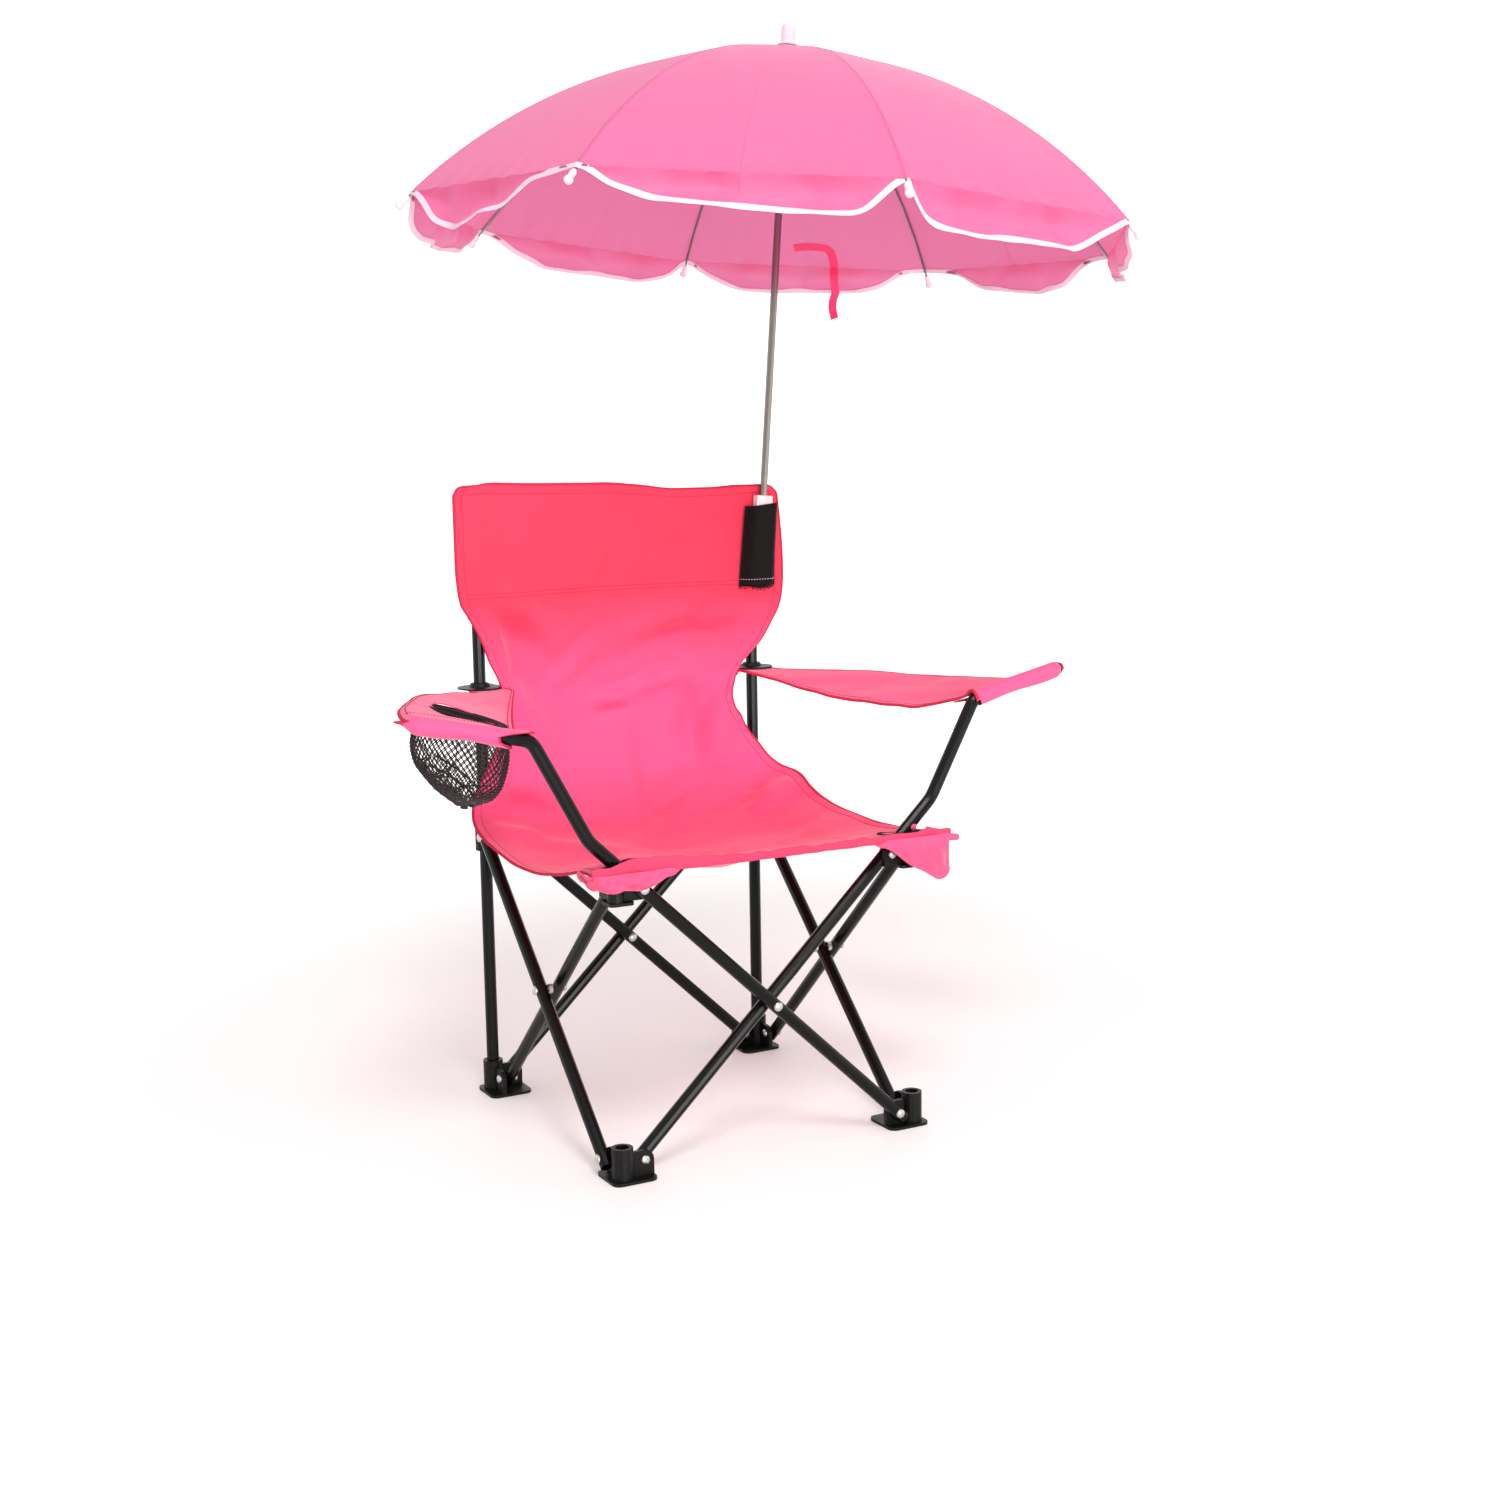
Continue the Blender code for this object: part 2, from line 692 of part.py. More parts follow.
def grid_sheet(name, rows, columns, place, assembly):
    """A sheet whose corners are place(u, v), with u across and v along, both from 0 to 1."""
    shape = bmesh.new()
    bmesh.ops.create_grid(shape, x_segments=columns, y_segments=rows, size=1.0)
    for vertex in shape.verts:
        vertex.co = place((vertex.co.x + 1) / 2, (vertex.co.y + 1) / 2)
    mesh = bpy.data.meshes.new(name)
    shape.to_mesh(mesh)
    shape.free()
    return new_object(name, mesh, assembly.parts)


def thicken(obj, thickness, offset=0.0):
    wall = obj.modifiers.new("Cloth", "SOLIDIFY")
    wall.thickness = thickness
    wall.offset = offset
    wall.use_even_offset = True
    return obj


def between(points, value):
    """Smoothly reads a list of (position, value) points that rises in position."""
    if value <= points[0][0]:
        return points[0][1]
    for (low, first), (high, second) in zip(points, points[1:]):
        if value <= high:
            share = (value - low) / (high - low)
            share = share * share * (3 - 2 * share)
            return first + (second - first) * share
    return points[-1][1]


# Half the back's width at shares of its height, as shares of the post spacing
BACK_WIDTH_SHARES = (
    (0.0, 1.145), (0.05, 1.13), (0.14, 1.00), (0.24, 0.90), (0.34, 0.845), (0.43, 0.85), (0.52, 0.99),
    (0.63, 1.14), (0.71, 1.19), (0.85, 1.205), (0.95, 1.18), (1.0, 1.12),
)
# How far the back bows rearward, and how far its foot comes forward, at shares of its height
BACK_HOLLOW_SHARES = ((0.0, 0.0), (0.35, 1.0), (0.75, 0.45), (1.0, 0.12))
BACK_FORWARD_SHARES = ((0.0, 1.0), (0.16, 0.25), (0.32, 0.0))


def seam_height(across):
    """The height of the seam between seat and back, low in the middle and lifted over the rear hubs."""
    return SEAM_MIDDLE + SEAM_RISE * across ** 4


def back_front_face():
    """Where the back's cloth lies in Y: its middle plane, just in front of the posts."""
    return CORNER - TUBE_RADIUS - SLEEVE_CLEAR - CLOTH / 2


def back_point(u, v):
    across = 2 * u - 1
    half = CORNER * between(BACK_WIDTH_SHARES, v)
    bottom = seam_height(across) + CLOTH + GAP
    free = min(1.0, abs(across) * half / (CORNER - COLLAR_RADIUS))
    belly = (1 - free * free) * BACK_HOLLOW * between(BACK_HOLLOW_SHARES, v)
    forward = (back_front_face() - SEAT_REAR) * between(BACK_FORWARD_SHARES, v)
    return Vector((across * half, back_front_face() + belly - forward, bottom + v * (BACK_TOP - bottom)))


def make_back(assembly):
    back = grid_sheet("back_panel", BACK_ROWS, BACK_COLUMNS, back_point, assembly)
    thicken(back, CLOTH)
    back = as_mesh(back, assembly.parts)
    outer = TUBE_RADIUS + SLEEVE_CLEAR + CLOTH
    for side in (-1, 1):
        label = "left" if side < 0 else "right"
        low = (side * CORNER, CORNER, SLEEVE_BOTTOM)
        high = (side * CORNER, CORNER, POST_TOP + GAP + CLOTH)
        sleeve = cylinder("back_sleeve_" + label, outer, low, high, assembly.parts)
        boolean(back, sleeve, "UNION", assembly.cutters)
    for side in (-1, 1):
        label = "left" if side < 0 else "right"
        low = (side * CORNER, CORNER, SLEEVE_BOTTOM - OVERRUN)
        high = (side * CORNER, CORNER, POST_TOP + GAP)
        bore = cylinder("back_bore_" + label, TUBE_RADIUS + SLEEVE_CLEAR / 2, low, high, assembly.parts)
        boolean(back, bore, "DIFFERENCE", assembly.cutters)
    back = as_mesh(back, assembly.parts)
    smooth(back)
    assembly.carry(back, "foot_rear_right", "chair_cloth", CHAIR_CLOTH)


# Half the seat's width at shares of its depth, from the front, as shares of its half width
SEAT_WIDTH_SHARES = ((0.0, 1.06), (0.16, 1.03), (0.5, 0.99), (1.0, 1.01))


def seat_point(u, v):
    """The seat from its front hem (v = 0) to the seam with the back (v = 1)."""
    across = 2 * u - 1
    y = -SEAT_FRONT + v * (SEAT_FRONT + SEAT_REAR)
    half = SEAT_HALF_WIDTH * between(SEAT_WIDTH_SHARES, v)
    held = (v - SEAT_HELD_SHARE) / (1 - SEAT_HELD_SHARE)
    middle = math.sin(math.pi * held) ** SEAT_FULLNESS if 0.0 < held < 1.0 else 0.0
    edge = SEAT_EDGE_SAG * middle
    bowl = (1 - across * across) * (SEAT_SAG - SEAT_EDGE_SAG) * middle
    fold = SEAT_EDGE_SAG * SEAT_FOLD_SHARE * math.cos(3 * math.pi * across) * middle
    rise = (seam_height(across) - SEAT_HEIGHT) * v * v * (3 - 2 * v)
    return Vector((across * half, y, SEAT_HEIGHT + rise - edge - bowl - fold))


def slit_cutter(side, assembly):
    """The opening in a front corner of the seat that its arm tube comes up through."""
    name = "front_tube_to_left_arm" if side < 0 else "front_tube_to_right_arm"
    high = tube_ends(name)[1]
    rise = (SEAT_HEIGHT - HUB_PIVOT) / math.tan(TUBE_ANGLE)
    centre = Vector((high.x + side * rise, high.y, SEAT_HEIGHT))
    half = Vector((SLIT_LENGTH / 2, SLIT_WIDTH / 2, SEAT_SAG))
    label = "left" if side < 0 else "right"
    return box("seat_slit_" + label, centre - half, centre + half, assembly.parts)


def make_seat(assembly):
    seat = grid_sheet("seat_panel", SEAT_ROWS, SEAT_COLUMNS, seat_point, assembly)
    thicken(seat, CLOTH)
    seat = as_mesh(seat, assembly.parts)
    for side in (-1, 1):
        boolean(seat, slit_cutter(side, assembly), "DIFFERENCE", assembly.cutters)
    seat = as_mesh(seat, assembly.parts)
    smooth(seat)
    assembly.carry(seat, "seat_panel", "chair_cloth", CHAIR_CLOTH)


# How much of the corner pockets' depth the hem has, at shares of its half width
POCKET_SHARES = ((0.66, 0.0), (0.90, 1.0), (0.97, 1.0), (1.0, 0.72))


def hem_point(u, v):
    """The front hem, folded down at the seat's front, with a deeper pocket over each front hub."""
    across = 2 * u - 1
    pocket = between(POCKET_SHARES, abs(across))
    drop = HEM_DROP + (POCKET_DROP - HEM_DROP) * pocket
    half = SEAT_HALF_WIDTH * SEAT_WIDTH_SHARES[0][1]
    y = -SEAT_FRONT - GAP - CLOTH / 2 - POCKET_FLARE * pocket * v
    return Vector((across * half, y, SEAT_HEIGHT + CLOTH / 2 - v * drop))


def make_front_hem(assembly):
    hem = grid_sheet("seat_front_hem", 3, 24, hem_point, assembly)
    thicken(hem, CLOTH)
    hem = as_mesh(hem, assembly.parts)
    smooth(hem)
    assembly.carry(hem, "seat_front_hem", "chair_cloth", CHAIR_CLOTH)


def arm_front_line(side):
    """The axis of the bar in an arm's front hem, from the bend's end to the bar's end."""
    name = "front_tube_to_left_arm" if side < 0 else "front_tube_to_right_arm"
    shoulder, end = arm_path(name)[2:]
    along = (end - shoulder).normalized()
    bend = (ARM_RISE_ANGLE - ARM_BAR_ANGLE) / 2
    return shoulder + along * (ARM_TOP_BEND * math.tan(bend) + OVERRUN), end, along


def arm_point(side, u, v):
    """An arm's cloth: u from its inner to its outer edge, v from its front hem to behind the post."""
    inner, outer, along = arm_front_line(side)
    inner = inner - along * ARM_INNER_OVERHANG
    outer = outer + along * HEM_TIP
    over_bar = TUBE_RADIUS + HEM_CLEAR + HEM_WALL / 2
    front = inner + (outer - inner) * u
    x_rear = side * (CORNER - ARM_REAR_INNER + u * (ARM_REAR_INNER + ARM_REAR_OUTER))
    z_rear = COLLAR_HEIGHT - GAP - CLOTH / 2
    back = min(1.0, v / ARM_NARROW_SHARE)
    sag = (ARM_INNER_SAG + (ARM_SAG - ARM_INNER_SAG) * u) * math.sin(math.pi * back)
    x = front.x + (x_rear - front.x) * back ** (ARM_INNER_POWER + (ARM_OUTER_POWER - ARM_INNER_POWER) * u)
    y = inner.y + v * (CORNER + ARM_REAR_END - inner.y)
    z_front = front.z + over_bar
    return Vector((x, y, z_front + (z_rear - z_front) * back - sag))


def cup_place():
    """The middle of the cup opening in the left arm, and the cloth's upward direction there."""
    depth = CORNER + ARM_REAR_END - arm_front_line(-1)[0].y
    v = CUP_FROM_FRONT / depth
    step = CUP_RADIUS / depth
    across = arm_point(-1, 1.0, v) - arm_point(-1, 0.0, v)
    along = arm_point(-1, CUP_ACROSS_SHARE, v + step) - arm_point(-1, CUP_ACROSS_SHARE, v - step)
    up = across.cross(along).normalized()
    return arm_point(-1, CUP_ACROSS_SHARE, v), up if up.z > 0 else -up


def cup_swing_pivot():
    """Where the net turns in the folding arm, so that its mouth follows the opening as the arm shortens."""
    centre = cup_place()[0]
    front = arm_front_line(-1)[0].y
    shift = (centre.y - front) * (1 - ARM_FOLDED_SHARE)
    below = shift / 2 / math.tan(ARM_FOLD_ANGLE / 2)
    return centre - Vector((0.0, shift / 2, below))


def make_arm(side, assembly):
    label = "left" if side < 0 else "right"
    name = "armrest_" + label
    sheet = grid_sheet(name, ARM_ROWS, 6, lambda u, v: arm_point(side, u, v), assembly)
    thicken(sheet, CLOTH)
    sheet = as_mesh(sheet, assembly.parts)
    inner, outer, along = arm_front_line(side)
    radius = TUBE_RADIUS + HEM_CLEAR + HEM_WALL
    hem = cylinder(name + "_hem", radius, inner, outer + along * HEM_TIP, assembly.parts)
    boolean(sheet, hem, "UNION", assembly.cutters)
    bar = cylinder(
        name + "_bar", TUBE_RADIUS + HEM_CLEAR, inner - along * OVERRUN, outer + along * HEM_CLEAR, assembly.parts
    )
    boolean(sheet, bar, "DIFFERENCE", assembly.cutters)
    post = (side * CORNER, CORNER, 0.0)
    hole = cylinder(
        name + "_post_hole",
        TUBE_RADIUS + SLEEVE_CLEAR,
        (post[0], post[1], COLLAR_HEIGHT - SOCKET_TOP),
        (post[0], post[1], COLLAR_HEIGHT + SOCKET_TOP),
        assembly.parts,
    )
    boolean(sheet, hole, "DIFFERENCE", assembly.cutters)
    if side < 0:
        centre, up = cup_place()
        reach = up * SOCKET_TOP
        cup = cylinder(name + "_cup_hole", CUP_RADIUS, centre - reach, centre + reach, assembly.parts, NET_SIDES)
        boolean(sheet, cup, "DIFFERENCE", assembly.cutters)
    sheet = as_mesh(sheet, assembly.parts)
    smooth(sheet)
    assembly.carry(sheet, name, "chair_cloth", CHAIR_CLOTH)


# The net bag's outer radius, as shares of its widest, at shares of its depth below its neck
NET_SHARES = ((0.16, 0.96), (0.34, 1.0), (0.62, 0.93), (0.84, 0.72))


def make_cup_net(assembly):
    """The hanging net, as a plain closed bag whose neck stands in the cup opening, open at its mouth."""
    centre, up = cup_place()
    neck = CUP_RADIUS - GAP
    below = NET_DEPTH - NET_NECK
    outer = [(neck, NET_RISE), (neck, -NET_NECK)]
    outer += [(NET_RADIUS * wide, -NET_NECK - below * deep) for deep, wide in NET_SHARES]
    outer += [(NET_BOTTOM_RADIUS, -NET_DEPTH), (0.0, -NET_DEPTH)]
    inner = [(0.0, -NET_DEPTH + NET_THICKNESS)]
    inner += [(radius - NET_THICKNESS, height) for radius, height in reversed(outer[1:-2])]
    inner += [(neck - NET_THICKNESS, NET_RISE)]
    mesh = bpy.data.meshes.new("cup_net")
    profile = outer + inner
    points = [(radius, 0.0, height) for radius, height in profile]
    edges = [(i, i + 1) for i in range(len(points) - 1) if i != len(outer) - 1]
    edges.append((len(points) - 1, 0))
    mesh.from_pydata(points, edges, [])
    net = new_object("cup_net", mesh, assembly.parts)
    screw = net.modifiers.new("Turn", "SCREW")
    screw.steps = NET_SIDES
    screw.render_steps = NET_SIDES
    screw.use_merge_vertices = True
    screw.merge_threshold = GAP / 30
    net.matrix_world = Matrix.Translation(centre) @ up.to_track_quat("Z", "Y").to_matrix().to_4x4()
    net = as_mesh(net, assembly.parts)
    smooth(net)
    assembly.carry(net, "cup_net", "black_net", BLACK_NET)


# Umbrella


def shaft_axis():
    """The umbrella's own frame: its foot in the pocket, its axis, and two directions across it."""
    along = Vector((math.sin(SHAFT_LEAN), 0.0, math.cos(SHAFT_LEAN)))
    pocket_back = back_front_face() - CLOTH / 2 - GAP
    depth = WEBBING + GAP + HANDLE_DEPTH / 2
    foot = Vector((SHAFT_FOOT_X, pocket_back - depth, SHAFT_FOOT_HEIGHT))
    left = Vector((-math.cos(SHAFT_LEAN), 0.0, math.sin(SHAFT_LEAN)))
    front = Vector((0.0, -1.0, 0.0))
    return foot, along, left, front


def on_umbrella(height, radius=0.0, turn=0.0):
    """A point of the umbrella, given along its shaft, out from it, and round it from its left."""
    foot, along, left, front = shaft_axis()
    out = left * math.cos(turn) + front * math.sin(turn)
    return foot + along * height + out * radius


def rib_turn(number):
    return RIB_PHASE + number * 2 * math.pi / RIB_COUNT


def rib_curve(share):
    """A rib's (radius, height) at a share of its length, on an arc from its notch to its tip."""
    chord = math.hypot(RIB_REACH, RIB_DROP)
    slope = math.atan2(-RIB_DROP, RIB_REACH)
    bend = chord / 2 / math.sin(RIB_BULGE)
    turn = RIB_BULGE * (2 * share - 1)
    ahead = chord / 2 + bend * math.sin(turn)
    above = bend * (math.cos(turn) - math.cos(RIB_BULGE))
    radius = NOTCH_RADIUS + ahead * math.cos(slope) - above * math.sin(slope)
    height = CROWN_ABOVE_FOOT + ahead * math.sin(slope) + above * math.cos(slope)
    return radius, height


def rib_normal(share):
    """The direction out of the canopy, as (radius, height), at a share of a rib's length."""
    step = 1 / RIB_STEPS
    before, after = rib_curve(share - step / 2), rib_curve(share + step / 2)
    run, fall = after[0] - before[0], after[1] - before[1]
    size = math.hypot(run, fall)
    return -fall / size, run / size


def make_shaft(assembly):
    foot, along, _, _ = shaft_axis()
    top = CROWN_ABOVE_FOOT + CROWN_HEIGHT
    shaft = turned(
        "umbrella_shaft",
        [(0.0, top), (SHAFT_RADIUS, top), (SHAFT_RADIUS, 0.0), (0.0, 0.0)],
        foot,
        along,
        assembly.parts,
        ROUND_SIDES,
    )
    smooth(shaft)
    assembly.carry(shaft, "umbrella", "chrome", CHROME)


def make_handle(assembly):
    """The flat plastic handle, bored for the shaft, that stands in the pocket."""
    low = -(HANDLE_LENGTH - HANDLE_BORE)
    handle = box(
        "umbrella_handle",
        (-HANDLE_WIDTH / 2, -HANDLE_DEPTH / 2, low),
        (HANDLE_WIDTH / 2, HANDLE_DEPTH / 2, HANDLE_BORE),
        assembly.parts,
    )
    edges = handle.modifiers.new("Edges", "BEVEL")
    edges.width = WEBBING
    edges.segments = 2
    bore = cylinder(
        "handle_bore", SHAFT_RADIUS + GAP, (0, 0, -GAP), (0, 0, HANDLE_BORE + OVERRUN), assembly.parts
    )
    boolean(handle, bore, "DIFFERENCE", assembly.cutters)
    handle = as_mesh(handle, assembly.parts)
    foot = shaft_axis()[0]
    handle.data.transform(Matrix.Translation(foot) @ Matrix.Rotation(SHAFT_LEAN, 4, "Y"))
    smooth(handle)
    assembly.carry(handle, "umbrella", "white_plastic", WHITE_PLASTIC)


def make_umbrella_pocket(assembly):
    """The webbing pocket on the back that the handle stands in, open at its top."""
    handle_low = -(HANDLE_LENGTH - HANDLE_BORE)
    low = handle_low - GAP - WEBBING
    high = HANDLE_BORE - HANDLE_SHOWING
    pocket = box(
        "umbrella_pocket",
        (-UMBRELLA_POCKET_TOP_WIDTH / 2, -HANDLE_DEPTH / 2 - GAP - WEBBING, low),
        (UMBRELLA_POCKET_TOP_WIDTH / 2, HANDLE_DEPTH / 2 + GAP + WEBBING, high),
        assembly.parts,
    )
    for vertex in pocket.data.vertices:
        if vertex.co.z < 0.0:
            vertex.co.x *= UMBRELLA_POCKET_BOTTOM_WIDTH / UMBRELLA_POCKET_TOP_WIDTH
    cavity_half = UMBRELLA_POCKET_TOP_WIDTH / 2 - WEBBING
    cavity = box(
        "umbrella_pocket_cavity",
        (-cavity_half, -HANDLE_DEPTH / 2 - GAP, handle_low - GAP),
        (cavity_half, HANDLE_DEPTH / 2 + GAP, high + OVERRUN),
        assembly.parts,
    )
    boolean(pocket, cavity, "DIFFERENCE", assembly.cutters)
    pocket = as_mesh(pocket, assembly.parts)
    foot = shaft_axis()[0]
    pocket.data.transform(Matrix.Translation(foot) @ Matrix.Rotation(SHAFT_LEAN, 4, "Y"))
    assembly.carry(pocket, "foot_rear_right", "black_webbing", BLACK_WEBBING)


def stretcher_pivot():
    """Where a stretcher meets its rib, as (radius, height), just under the rib."""
    radius, height = rib_curve(STRETCHER_SHARE)
    return radius, height - RIB_RADIUS - STRETCHER_RADIUS - GAP


def runner_height():
    """Where the runner's pivots stand along the shaft with the umbrella open."""
    return 2 * stretcher_pivot()[1] - CROWN_ABOVE_FOOT


def make_crown(assembly):
    foot, along, _, _ = shaft_axis()
    low = CROWN_ABOVE_FOOT + RIB_RADIUS + GAP
    high = low + CROWN_HEIGHT / 2
    bore = SHAFT_RADIUS + GAP
    profile = [(CROWN_RADIUS, high), (CROWN_RADIUS, low), (bore, low), (bore, high)]
    crown = turned("rib_crown", profile, foot, along, assembly.parts, ROUND_SIDES)
    smooth(crown)
    assembly.carry(crown, "umbrella", "white_plastic", WHITE_PLASTIC)


def make_ferrule(assembly):
    foot, along, _, _ = shaft_axis()
    base = CROWN_ABOVE_FOOT + RIB_RADIUS + GAP + CROWN_HEIGHT / 2 + GAP * 2 + CANOPY_THICKNESS
    bore = SHAFT_RADIUS + GAP
    roof = CROWN_ABOVE_FOOT + CROWN_HEIGHT + GAP
    top = base + FERRULE_HEIGHT
    profile = [
        (0.0, top),
        (FERRULE_RADIUS * 0.7, top - FERRULE_RADIUS * 0.2),
        (FERRULE_RADIUS, top - FERRULE_RADIUS * 0.7),
        (FERRULE_RADIUS, base + FERRULE_SKIRT_HEIGHT),
        (FERRULE_SKIRT_RADIUS, base + FERRULE_SKIRT_HEIGHT * 0.6),
        (FERRULE_SKIRT_RADIUS, base),
        (bore, base),
        (bore, max(base, roof) + GAP),
        (0.0, max(base, roof) + GAP),
    ]
    ferrule = turned("ferrule", profile, foot, along, assembly.parts, ROUND_SIDES)
    smooth(ferrule)
    assembly.carry(ferrule, "umbrella", "white_plastic", WHITE_PLASTIC)


def make_runner(assembly):
    foot, along, _, _ = shaft_axis()
    top = runner_height() + RUNNER_FLANGE_HEIGHT
    bore = SHAFT_RADIUS + GAP
    low = top - RUNNER_LENGTH
    grip = RUNNER_RADIUS
    profile = [
        (RUNNER_RADIUS, top),
        (grip, low),
        (bore, low),
        (bore, top),
    ]
    runner = turned("runner", profile, foot, along, assembly.parts, ROUND_SIDES)
    smooth(runner)
    assembly.carry(runner, "runner", "white_plastic", WHITE_PLASTIC)


def make_rib(number, assembly):
    turn = rib_turn(number)
    path = []
    for step in range(RIB_STEPS + 1):
        radius, height = rib_curve(step / RIB_STEPS)
        path.append(on_umbrella(height, radius, turn))
    name = f"rib_{number + 1}"
    rib = curve_tube(name, path, RIB_RADIUS, RIB_SIDES_RESOLUTION, assembly.parts, True)
    rib = as_mesh(rib, assembly.parts)
    radius, height = rib_curve(1.0)
    before = rib_curve(1.0 - 1 / RIB_STEPS)
    end = on_umbrella(height, radius, turn)
    out = (end - on_umbrella(before[1], before[0], turn)).normalized()
    tip = cylinder(name + "_tip", TIP_RADIUS, end - out * GAP, end + out * TIP_LENGTH, assembly.parts, SMALL_SIDES)
    boolean(rib, tip, "UNION", assembly.cutters)
    rib = as_mesh(rib, assembly.parts)
    smooth(rib)
    assembly.carry(rib, name, "chrome", CHROME)


def make_stretcher(number, assembly):
    """The stay from a rib down to the runner, beside the shaft."""
    turn = rib_turn(number)
    radius, height = stretcher_pivot()
    inner = on_umbrella(runner_height(), NOTCH_RADIUS, turn)
    outer = on_umbrella(height, radius, turn)
    name = f"stretcher_{number + 1}"
    stay = cylinder(name, STRETCHER_RADIUS, inner, outer, assembly.parts, 6)
    smooth(stay)
    assembly.carry(stay, name, "chrome", CHROME)


def canopy_point(turn_share, level):
    """The canopy's inner face: round the umbrella by turn_share, from crown (0) over the hem (1) down."""
    gore_turn = 2 * math.pi / RIB_COUNT
    turn = RIB_PHASE + turn_share * 2 * math.pi
    within = (turn_share * RIB_COUNT) % 1.0
    from_middle = (within - 0.5) * gore_turn
    share = min(level, CANOPY_SHARE)
    radius, height = rib_curve(share)
    out, up = rib_normal(share)
    radius += out * CANOPY_CLEAR
    height += up * (CANOPY_CLEAR + RIB_RADIUS)
    chord = math.cos(gore_turn / 2) / math.cos(from_middle)
    slack = between(((0.0, 0.0), (0.25, 1.0), (1.0, 1.0)), share)
    pull = 1.0 + (chord - 1.0) * slack
    droop = max(0.0, level - 1.0)
    hang = math.cos(math.pi * (within - 0.5)) ** 0.75 if 0.0 < within < 1.0 else 0.0
    radius = radius * pull + droop * HEM_DEPTH * 0.22 * hang
    height = height - droop * HEM_DEPTH * hang
    return on_umbrella(height, radius, turn)


def make_canopy(assembly):
    columns = RIB_COUNT * CANOPY_PER_GORE
    hole_share = FERRULE_RADIUS / RIB_REACH
    levels = [hole_share] + [step / RIB_STEPS for step in range(1, RIB_STEPS)] + [CANOPY_SHARE]
    levels += [1 + (ring + 1) / HEM_RINGS for ring in range(HEM_RINGS)]
    shape = bmesh.new()
    rings = [
        [shape.verts.new(canopy_point(column / columns, level)) for column in range(columns)] for level in levels
    ]
    for upper, lower in zip(rings, rings[1:]):
        for column in range(columns):
            after = (column + 1) % columns
            shape.faces.new((upper[column], lower[column], lower[after], upper[after]))
    mesh = bpy.data.meshes.new("canopy")
    bmesh.ops.recalc_face_normals(shape, faces=shape.faces)
    shape.to_mesh(mesh)
    shape.free()
    canopy = new_object("canopy", mesh, assembly.parts)
    thicken(canopy, CANOPY_THICKNESS, 1.0)
    canopy = as_mesh(canopy, assembly.parts)
    smooth(canopy)
    assembly.carry(canopy, "umbrella", "canopy_cloth", CANOPY_CLOTH)


def make_tie_strap(assembly):
    """The strap that ties the closed canopy, sewn on a rear gore and hanging below its hem."""
    centre = STRAP_GORE + STRAP_ACROSS_SHARE
    half = STRAP_WIDTH / 2 / (2 * math.pi * RIB_REACH)
    lift = CANOPY_THICKNESS + GAP + STRAP_THICKNESS / 2
    levels = [STRAP_HIGH_SHARE + (CANOPY_SHARE - STRAP_HIGH_SHARE) * i / STRAP_STEPS for i in range(STRAP_STEPS)]
    levels += [CANOPY_SHARE] + [1 + (ring + 1) / HEM_RINGS for ring in range(HEM_RINGS)]
    shape = bmesh.new()
    rows = []
    for level in levels:
        row = []
        for side in (-1, 1):
            share = centre / RIB_COUNT + side * half
            place = canopy_point(share, level)
            out, up = rib_normal(min(level, CANOPY_SHARE))
            turn = RIB_PHASE + share * 2 * math.pi
            place += on_umbrella(up * lift, out * lift, turn) - on_umbrella(0.0)
            row.append(place)
        rows.append(row)
    hang = (on_umbrella(0.0) - on_umbrella(STRAP_HANG))
    rows.append([place + hang for place in rows[-1]])
    made = [[shape.verts.new(place) for place in row] for row in rows]
    for upper, lower in zip(made, made[1:]):
        shape.faces.new((upper[0], lower[0], lower[1], upper[1]))
    mesh = bpy.data.meshes.new("tie_strap")
    shape.to_mesh(mesh)
    shape.free()
    strap = new_object("tie_strap", mesh, assembly.parts)
    thicken(strap, STRAP_THICKNESS)
    strap = as_mesh(strap, assembly.parts)
    assembly.carry(strap, "umbrella", "strap_cloth", STRAP_CLOTH)


